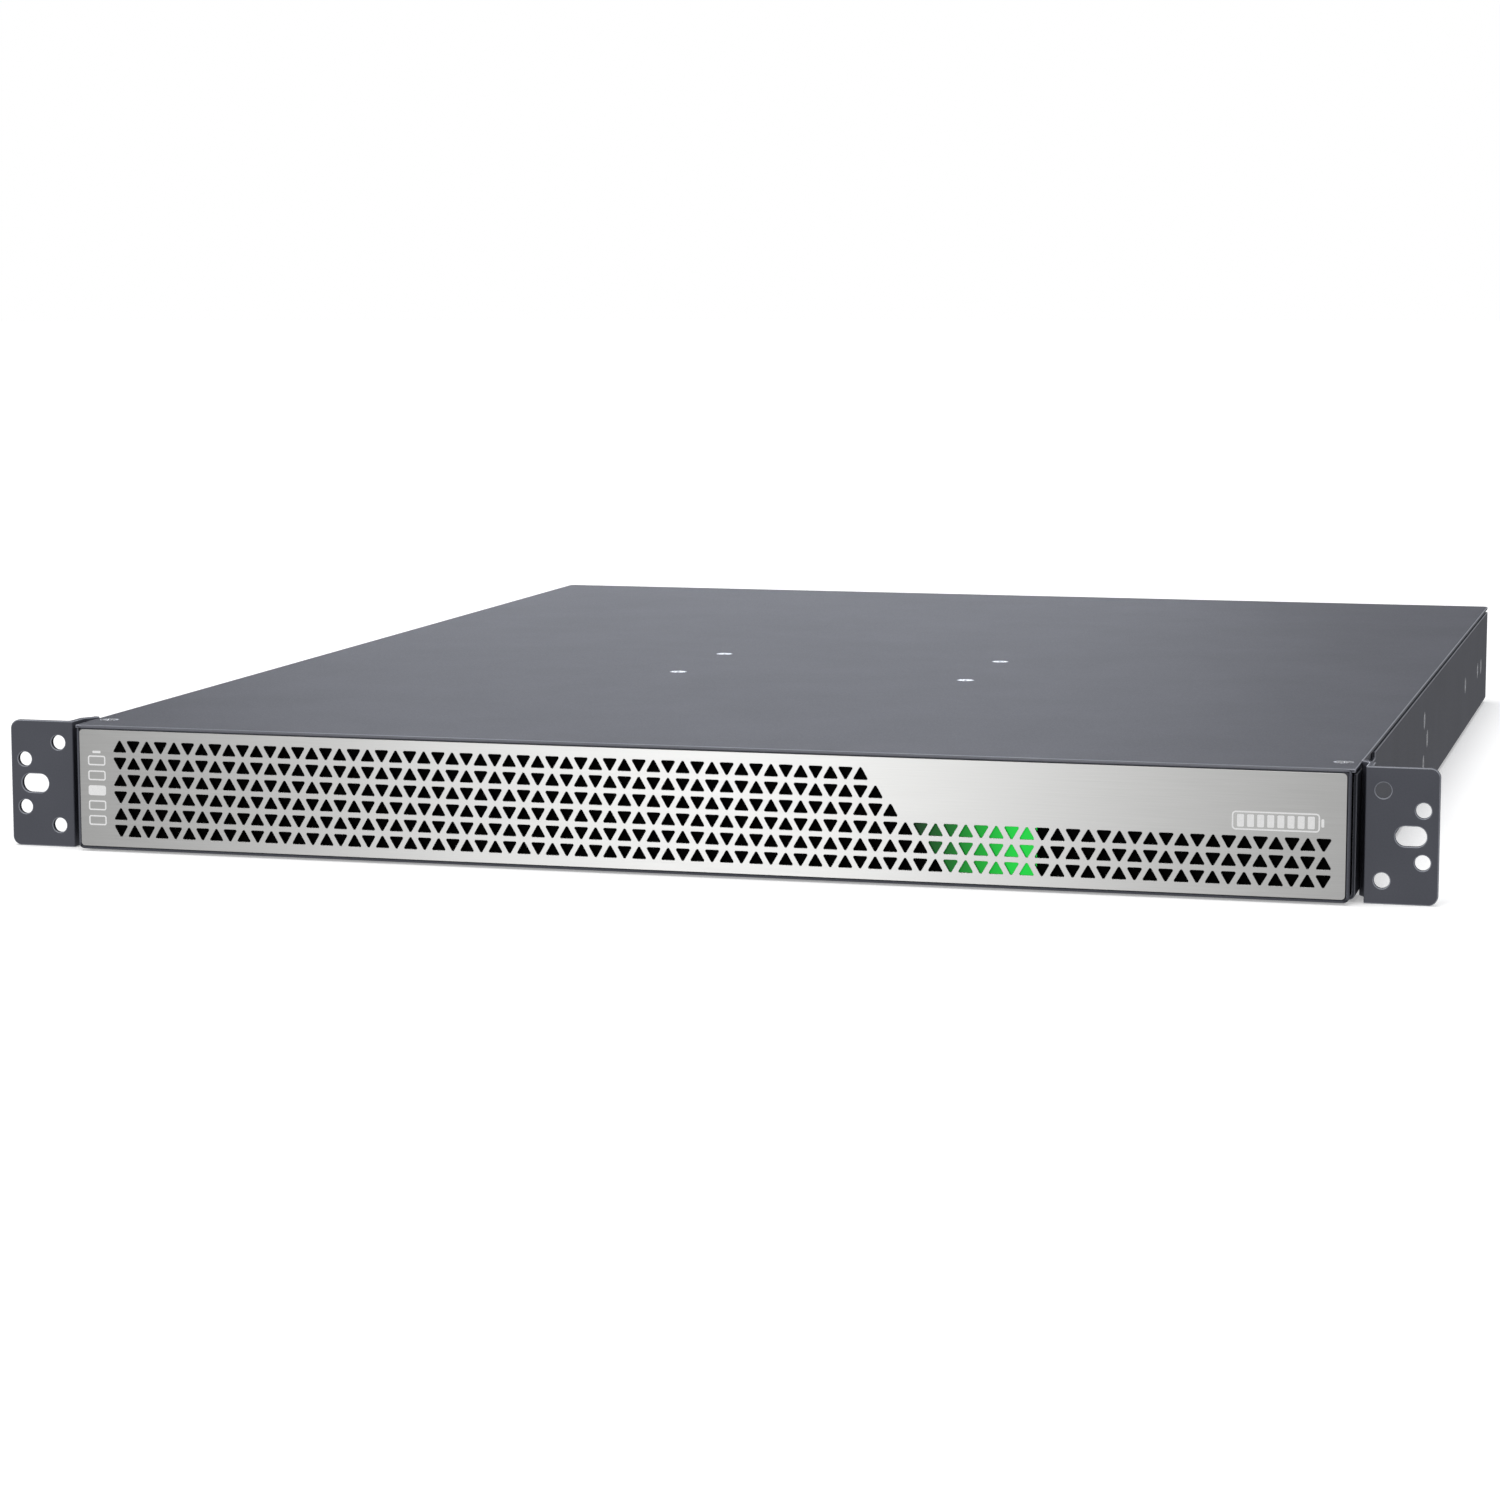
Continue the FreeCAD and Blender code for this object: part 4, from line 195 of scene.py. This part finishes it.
def ramp(tree, source, stops):
    """Colour ramp over a value; the stops are (position, hex colour or grey level)."""
    made = add(tree, "ValToRGB", links={"Fac": source})
    while len(made.color_ramp.elements) < len(stops):
        made.color_ramp.elements.new(0.5)
    for element, (position, tone) in zip(made.color_ramp.elements, stops):
        element.position = position
        element.color = linear(tone) if isinstance(tone, str) else (tone, tone, tone, 1)
    return made.outputs["Color"]


def relief(tree, shader, source, depth, strength=1.0):
    """Bump of that depth in millimetres."""
    bump = add(tree, "Bump", {"Distance": depth * MM, "Strength": strength}, {"Height": source})
    tree.links.new(bump.outputs["Normal"], shader.inputs["Normal"])


def powder_coat(name, dark, light, gloss):
    """Polyester powder coat on steel: a fine dry texture that scatters light, with slight colour drift."""
    material, tree, shader = new_material(name, IOR=1.5, Specular_IOR_Level=0.4)
    drift = grain(tree, 35, detail=2)
    speck = grain(tree, 0.55, detail=2)
    mixed = add(tree, "Mix", {"Factor": 0.5}, {"A": drift.outputs["Fac"], "B": speck.outputs["Fac"]})
    tone = ramp(tree, mixed.outputs["Result"], [(0.3, dark), (0.7, light)])
    tree.links.new(tone, shader.inputs["Base Color"])
    sheen = ramp(tree, speck.outputs["Fac"], [(0.3, gloss[0]), (0.7, gloss[1])])
    tree.links.new(sheen, shader.inputs["Roughness"])
    relief(tree, shader, grain(tree, 0.4, detail=2).outputs["Fac"], 0.012, 0.6)
    return material


def brushed_aluminium():
    """Anodised aluminium sheet, brushed along its length: highlights spread up and down across the grain."""
    material, tree, shader = new_material("brushed_anodised_aluminium", Metallic=1.0, Anisotropic=0.8)
    lines = grain(tree, 0.25, stretch=(0.012, 1, 1), detail=4, roughness=0.6)
    tone = ramp(tree, lines.outputs["Fac"], [(0.25, "#B0B0AF"), (0.75, "#BABAB9")])
    tree.links.new(tone, shader.inputs["Base Color"])
    gloss = ramp(tree, lines.outputs["Fac"], [(0.3, 0.43), (0.7, 0.49)])
    tree.links.new(gloss, shader.inputs["Roughness"])
    across = add(tree, "CombineXYZ", {"Z": 1.0})
    tree.links.new(across.outputs["Vector"], shader.inputs["Tangent"])
    relief(tree, shader, lines.outputs["Fac"], 0.003, 0.4)
    return material


def moulded_plastic(name, dark, light, gloss=(0.5, 0.6), grain_size=0.5, depth=0.012):
    """Injection-moulded plastic with a spark-eroded texture."""
    material, tree, shader = new_material(name, IOR=1.52)
    speck = grain(tree, grain_size, detail=2)
    tone = ramp(tree, speck.outputs["Fac"], [(0.3, dark), (0.7, light)])
    tree.links.new(tone, shader.inputs["Base Color"])
    sheen = ramp(tree, speck.outputs["Fac"], [(0.3, gloss[0]), (0.7, gloss[1])])
    tree.links.new(sheen, shader.inputs["Roughness"])
    relief(tree, shader, speck.outputs["Fac"], depth, 0.6)
    return material


def plated_metal(name, dark, light, gloss=(0.25, 0.4), grain_size=1.5, stretch=(1, 1, 1)):
    """Metal with a plated or rolled skin, cloudy at the scale of its crystals or rolling marks."""
    material, tree, shader = new_material(name, Metallic=1.0)
    cloud = grain(tree, grain_size, stretch=stretch, detail=4)
    tone = ramp(tree, cloud.outputs["Fac"], [(0.3, dark), (0.7, light)])
    tree.links.new(tone, shader.inputs["Base Color"])
    sheen = ramp(tree, cloud.outputs["Fac"], [(0.3, gloss[0]), (0.7, gloss[1])])
    tree.links.new(sheen, shader.inputs["Roughness"])
    relief(tree, shader, cloud.outputs["Fac"], 0.004, 0.4)
    return material


def open_foam():
    """Black reticulated polyurethane foam: cells of about 1 mm that swallow light."""
    material, tree, shader = new_material("reticulated_foam", Roughness=1.0)
    place = add(tree, "TexCoord")
    cells = add(tree, "TexVoronoi", {"Scale": per(1.1)}, {"Vector": place.outputs["Object"]})
    tone = ramp(tree, cells.outputs["Distance"], [(0.1, "#000000"), (0.75, "#050505")])
    tree.links.new(tone, shader.inputs["Base Color"])
    relief(tree, shader, cells.outputs["Distance"], 0.5)
    shader.inputs["Specular IOR Level"].default_value = 0.1
    return material


def lit_acrylic():
    """Diffusing acrylic, lit green from behind: dim at its cut end and bright above the row of lamps."""
    material, tree, shader = new_material("diffusing_acrylic", IOR=1.49, Roughness=0.35,
                                          Specular_IOR_Level=0.2)
    shader.inputs["Base Color"].default_value = linear("#062A0E")
    low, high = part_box("bezel_light_guide")
    place = add(tree, "TexCoord")
    parts = add(tree, "SeparateXYZ", links={"Vector": place.outputs["Object"]})
    along = add(tree, "MapRange", {"From Min": low.x, "From Max": high.x}, {"Value": parts.outputs["X"]})
    tone = ramp(tree, along.outputs["Result"],
                [(0.08, "#05280D"), (0.35, "#0F6B22"), (0.6, "#12A932"), (0.85, "#1BD846")])
    tree.links.new(tone, shader.inputs["Emission Color"])
    shader.inputs["Emission Strength"].default_value = 0.9
    return material


def circuit_laminate():
    """Glass-fibre laminate under green solder mask, with a faint weave and darker traces."""
    material, tree, shader = new_material("solder_masked_laminate", IOR=1.5, Roughness=0.32)
    place = add(tree, "TexCoord")
    tracks = add(tree, "TexBrick", {"Scale": per(6), "Mortar Size": 0.03, "Color1": linear("#0B4A2A"),
                                    "Color2": linear("#0E5732"), "Mortar": linear("#1B7A48")},
                 {"Vector": place.outputs["Object"]})
    tree.links.new(tracks.outputs["Color"], shader.inputs["Base Color"])
    relief(tree, shader, tracks.outputs["Fac"], 0.02, 0.5)
    return material


def screen_ink():
    """White screen-printing ink, a few hundredths of a millimetre thick and slightly uneven."""
    material, tree, shader = new_material("white_screen_ink", IOR=1.48)
    speck = grain(tree, 0.3, detail=2)
    tone = ramp(tree, speck.outputs["Fac"], [(0.3, "#EDEDED"), (0.7, "#FAFAFA")])
    tree.links.new(tone, shader.inputs["Base Color"])
    shader.inputs["Roughness"].default_value = 0.5
    return material


def studio_floor():
    """Matt white paper sweep that glows slightly, so that it stays white up to the horizon."""
    material, tree, shader = new_material("white_paper", IOR=1.4, Roughness=0.9)
    fibre = grain(tree, 3, detail=3)
    tone = ramp(tree, fibre.outputs["Fac"], [(0.3, "#F4F4F4"), (0.7, "#F7F7F7")])
    tree.links.new(tone, shader.inputs["Base Color"])
    shader.inputs["Specular IOR Level"].default_value = 0.0
    shader.inputs["Emission Color"].default_value = (1, 1, 1, 1)
    shader.inputs["Emission Strength"].default_value = FLOOR_GLOW
    return material


FINISHES = {
    # sprayed and baked: dry, dark grey, slightly blue
    "case_paint": powder_coat("powder_coated_steel", "#44464F", "#50525B", (0.52, 0.64)),
    # long highlights across fine horizontal lines
    "faceplate": brushed_aluminium(),
    # the paint's colour in a softer, moulded skin
    "bezel_plastic": moulded_plastic("moulded_abs", "#4A4C55", "#555760", (0.45, 0.55)),
    # reads as plain black behind the holes
    "filter_foam": open_foam(),
    # a green glow that fades to one side
    "light_guide": lit_acrylic(),
    # small bright, slightly cloudy heads
    "zinc_screw": plated_metal("zinc_plated_steel", "#9A9CA2", "#C9CBD0", (0.22, 0.36), 0.8),
    # near black with a faint grain
    "black_plastic": moulded_plastic("glass_filled_nylon", "#0C0C0E", "#17171A", (0.42, 0.56)),
    # tight and glossy, blue
    "cell_wrap": moulded_plastic("heat_shrink_sleeve", "#1E4F86", "#235A97", (0.25, 0.32), 4, 0.004),
    # matt charcoal
    "holder_plastic": moulded_plastic("flame_retardant_abs", "#26272B", "#303136", (0.5, 0.6)),
    # warm silver with rolling marks along the strip
    "nickel": plated_metal("rolled_nickel_strip", "#A9A595", "#C9C5B6", (0.22, 0.34), 0.6, (1, 0.05, 1)),
    # orange metal with rolling marks along the bar
    "copper": plated_metal("rolled_copper_bar", "#B06A46", "#CF8A62", (0.25, 0.38), 0.8, (1, 0.08, 1)),
    # smooth cream sheet
    "insulating_film": moulded_plastic("polycarbonate_film", "#C9C4B4", "#D8D4C8", (0.3, 0.38), 2, 0.004),
    # dark green and glossy
    "circuit_board": circuit_laminate(),
    # milky and smooth
    "diode_white": moulded_plastic("white_polycarbonate", "#D9D9D4", "#E6E6E2", (0.3, 0.38), 0.8, 0.004),
    # dull grey with drawing lines along the fins
    "heatsink_aluminium": plated_metal("extruded_aluminium", "#6D6F73", "#83868A", (0.35, 0.48), 0.5,
                                       (1, 0.02, 1)),
    # dull black
    "component_black": moulded_plastic("epoxy_case", "#101012", "#1A1A1D", (0.38, 0.5)),
    # grey with large pale crystals
    "galvanised": plated_metal("galvanised_steel", "#8E9298", "#B5B9BF", (0.3, 0.46), 9),
    # glossy green cap
    "button_green": moulded_plastic("green_polycarbonate", "#1E8F3C", "#27A046", (0.25, 0.33), 0.8, 0.004),
    # bright neutral silver
    "port_metal": plated_metal("nickel_plated_shell", "#A8AAAE", "#C8CACD", (0.2, 0.32), 1.0),
    # yellow and bright
    "gold_contact": plated_metal("gold_plated_brass", "#C79A3F", "#E0B860", (0.2, 0.3), 0.8),
}


# painted highlight: a pale, glossier tone of the case paint laid on the rounded edges, standing in for the
# light that the edges catch
PAINTED_EDGE_HIGHLIGHT = powder_coat("edge_highlight_painted_pale", "#82858E", "#989BA4", (0.3, 0.38))
INK = screen_ink()
INK_THICKNESS = 0.02 * MM

# where the rear fittings stand, in millimetres
POWER_SOCKETS = (("load", 171), ("next_pack", 111))
POLE_OFFSET = 10.5
BREAKER_PLACE = 68
BREAKER_SYMBOL_RISE = 12.6
WAKE_PLACE = 44
EARTH_PLACE = 206.5
PORT_PLACES = (2, -20)
PORT_MOUTH_WIDTH = 12.6
PORT_RIM = 0.25
PORT_FRONT_WALL = 1.0
PORT_WALL = 0.5

MERGED_WITHIN = 0.002 * MM
SHARP_ANGLE = math.radians(35)
FRONT_FACE_DEPTH = 0.05 * MM


def dress_nodes():
    """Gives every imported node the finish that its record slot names."""
    for shown in NODES.values():
        for place in shown.material_slots:
            slot_name = place.material.name.split(".")[0]
            place.material = FINISHES[slot_name]


# ---------------------------------------------------------------- pieces

def finished(mesh, name, body, finish, replaced=()):
    """Turns a bmesh into a piece that rides on a body."""
    data = bpy.data.meshes.new(name)
    mesh.to_mesh(data)
    mesh.free()
    data.materials.append(finish)
    piece = bpy.data.objects.new(name, data)
    bpy.context.scene.collection.objects.link(piece)
    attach(piece, body)
    if replaced:
        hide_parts(*replaced)
    return piece


def keep_flats_flat(piece):
    """Shades rounded edges smoothly while the flats beside them stay flat."""
    piece.data.shade_smooth()
    weighted = piece.modifiers.new("flat_faces_first", "WEIGHTED_NORMAL")
    weighted.keep_sharp = True
    weighted.weight = 100


def eased(node_name, edge, segments=2, front_only=False):
    """The node's own shape with its sharp edges broken by a small radius, in millimetres; on painted parts
    the rounded edges carry a painted highlight in pale paint.
    """
    source = NODES[node_name]
    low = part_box(node_name)[0]
    mesh = bmesh.new()
    mesh.from_mesh(source.data)
    bmesh.ops.remove_doubles(mesh, verts=mesh.verts, dist=MERGED_WITHIN)
    sharp = [e for e in mesh.edges if len(e.link_faces) == 2 and e.calc_face_angle(0) > SHARP_ANGLE]
    if front_only:
        sharp = [e for e in sharp if all(v.co.y < low.y + FRONT_FACE_DEPTH for v in e.verts)]
    rounded = bmesh.ops.bevel(mesh, geom=sharp, offset=edge * MM, offset_type="OFFSET", affect="EDGES",
                              segments=segments, profile=0.5, material=-1, clamp_overlap=False)
    finish = source.data.materials[0]
    painted = finish == FINISHES["case_paint"]
    # the rounded edges of painted parts take the pale paint, a painted highlight along each edge
    if painted:
        for face in rounded["faces"]:
            face.material_index = 1
    piece = finished(mesh, node_name + "_eased", BODY_OF[node_name], finish, [node_name])
    if painted:
        piece.data.materials.append(PAINTED_EDGE_HIGHLIGHT)
    if segments > 1:
        keep_flats_flat(piece)
    return piece


def line_port_mouths(shells):
    """Gives the walls inside the data ports' mouths the black plastic of their inserts."""
    low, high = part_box("comm_port_shells")
    shells.data.materials.append(FINISHES["black_plastic"])
    for face in shells.data.polygons:
        across, back, up = face.center
        beside = min(abs(across - middle * MM) for middle in PORT_PLACES)
        behind_rim = low.y + PORT_FRONT_WALL * MM < back < high.y - PORT_RIM * MM
        between_walls = low.z + PORT_WALL * MM < up < high.z - PORT_WALL * MM
        if behind_rim and between_walls and beside < PORT_MOUTH_WIDTH / 2 * MM:
            face.material_index = 1


def ink_shape(mesh, across, up, width, height, radius=0.0, border=0.0):
    """Adds a rounded bar of ink, lying in X and Y, or only its border; all sizes in millimetres."""
    part = bmesh.new()
    bmesh.ops.create_grid(part, x_segments=1, y_segments=1, size=0.5)
    bmesh.ops.scale(part, verts=part.verts, vec=(width * MM, height * MM, 1))
    if radius:
        bmesh.ops.bevel(part, geom=part.verts[:], offset=radius * MM, offset_type="OFFSET",
                        affect="VERTICES", segments=6, profile=0.5, material=-1)
    if border:
        part.normal_update()
        middle = part.faces[:]
        bmesh.ops.inset_region(part, faces=middle, thickness=border * MM,
                                use_boundary=True, use_even_offset=True)
        bmesh.ops.delete(part, geom=middle, context="FACES_ONLY")
    raised = bmesh.ops.extrude_face_region(part, geom=part.faces[:])["geom"]
    lifted = [item for item in raised if isinstance(item, bmesh.types.BMVert)]
    bmesh.ops.translate(part, verts=lifted, vec=(0, 0, INK_THICKNESS))
    bmesh.ops.recalc_face_normals(part, faces=part.faces)
    bmesh.ops.translate(part, verts=part.verts, vec=(across * MM, up * MM, 0))
    carried = bpy.data.meshes.new("ink_shape")
    part.to_mesh(carried)
    part.free()
    mesh.from_mesh(carried)
    bpy.data.meshes.remove(carried)


def print_mark(name, body, across, up, face, shapes, behind=False):
    """Prints shapes on a face that looks to the front, or to the back; each is ink_shape's own numbers."""
    mesh = bmesh.new()
    for shape in shapes:
        ink_shape(mesh, *shape)
    bmesh.ops.rotate(mesh, verts=mesh.verts, cent=(0, 0, 0), matrix=Matrix.Rotation(math.pi / 2, 3, "X"))
    if behind:
        bmesh.ops.rotate(mesh, verts=mesh.verts, cent=(0, 0, 0), matrix=Matrix.Rotation(math.pi, 3, "Z"))
    bmesh.ops.translate(mesh, verts=mesh.verts, vec=(across * MM, face, up * MM))
    return finished(mesh, name, body, INK)


def front_marks():
    """A battery symbol on the plain corner, and a ladder of cells at the plate's left end."""
    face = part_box("bezel_faceplate")[0].y
    battery = [(0, 0, 27.5, 6, 1.2, 0.5), (14.6, 0, 0.9, 2.6, 0.3)]
    battery += [(3.15 * (level - 3.5), 0, 2.2, 4.0, 0.4) for level in range(8)]
    print_mark("battery_symbol", "front_bezel", 191.3, 4.0, face, battery)
    ladder = [(0, 5.1 * step, 6.4, 3.4, 0.8, 0.5 if step else 0.0) for step in range(-2, 3)]
    ladder += [(0, 13.1, 3.0, 0.8, 0.3)]
    print_mark("cell_ladder_symbol", "front_bezel", -207.0, -0.8, face, ladder)


def rear_marks():
    """Symbols beside the rear fittings: poles, data, wake, on and off, and protective earth."""
    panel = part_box("rear_panel")[1].y
    plus = [(0, 0, 2.7, 0.7, 0.2), (0, 0, 0.7, 2.7, 0.2)]
    minus = [(0, 0, 2.7, 0.7, 0.2)]
    for socket, middle in POWER_SOCKETS:
        print_mark(socket + "_plus_symbol", "chassis", middle + POLE_OFFSET, 10.7, panel, plus, True)
        print_mark(socket + "_minus_symbol", "chassis", middle - POLE_OFFSET, 10.7, panel, minus, True)
    link = [(-2.4, 0, 1.7, 1.7, 0.3, 0.45), (0, 0, 3.2, 0.5), (2.4, 0, 1.7, 1.7, 0.3, 0.45)]
    for port, middle in zip(("one", "two"), PORT_PLACES):
        print_mark(f"data_port_{port}_symbol", "chassis", middle, 6.4, panel, link, True)
    wake = [(0, 0, 3.8, 3.8, 1.85, 0.5), (0, 1.5, 0.6, 2.2, 0.2)]
    print_mark("wake_symbol", "chassis", WAKE_PLACE, 5.2, panel, wake, True)
    earth = [(0, 1.6, 0.6, 2.4), (0, 0.4, 4.6, 0.6), (0, -0.8, 3.0, 0.6), (0, -2.0, 1.4, 0.6)]
    print_mark("earth_symbol", "chassis", EARTH_PLACE, -0.8, panel, earth, True)
    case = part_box("breaker_body")[1].y
    bar = [(0, 0, 0.8, 3.6, 0.2)]
    ring = [(0, 0, 3.6, 3.6, 1.75, 0.6)]
    print_mark("breaker_on_symbol", "chassis", BREAKER_PLACE, BREAKER_SYMBOL_RISE, case, bar, True)
    print_mark("breaker_off_symbol", "chassis", BREAKER_PLACE, -BREAKER_SYMBOL_RISE, case, ring, True)


def build_floor():
    """Round white floor just under the pack, seen by the camera but not mirrored in it."""
    mesh = bmesh.new()
    bmesh.ops.create_circle(mesh, cap_ends=True, radius=FLOOR_SIZE, segments=96)
    bottom = CAD_BOX[0].z - FLOOR_DROP
    bmesh.ops.translate(mesh, verts=mesh.verts, vec=(0, 0, bottom))
    data = bpy.data.meshes.new("studio_floor")
    mesh.to_mesh(data)
    mesh.free()
    data.materials.append(studio_floor())
    floor = bpy.data.objects.new("studio_floor", data)
    floor.visible_glossy = False
    floor.visible_diffuse = False
    bpy.context.scene.collection.objects.link(floor)


# ---------------------------------------------------------------- the pack

set_camera()
set_light()
build_floor()
dress_nodes()
for node_name, edge in (("top_cover", 0.3), ("chassis_tray", 0.3), ("left_rack_ear", 0.3),
                        ("right_rack_ear", 0.3), ("bezel_frame", 0.25)):
    eased(node_name, edge)
eased("bezel_faceplate", 0.06, segments=1, front_only=True)
for node_name, edge in (("rear_panel", 0.15), ("power_connector_housings", 0.3), ("breaker_body", 0.3),
                        ("breaker_toggle", 0.4), ("ground_nut", 0.25),
                        ("wake_button_bush", 0.3), ("fan_frames", 0.25), ("cover_screws", 0.1),
                        ("side_screws", 0.1), ("ear_screws", 0.1), ("rear_panel_screws", 0.12),
                        ("cover_tab_screws", 0.12)):
    eased(node_name, edge)
line_port_mouths(eased("comm_port_shells", 0.15))
front_marks()
rear_marks()
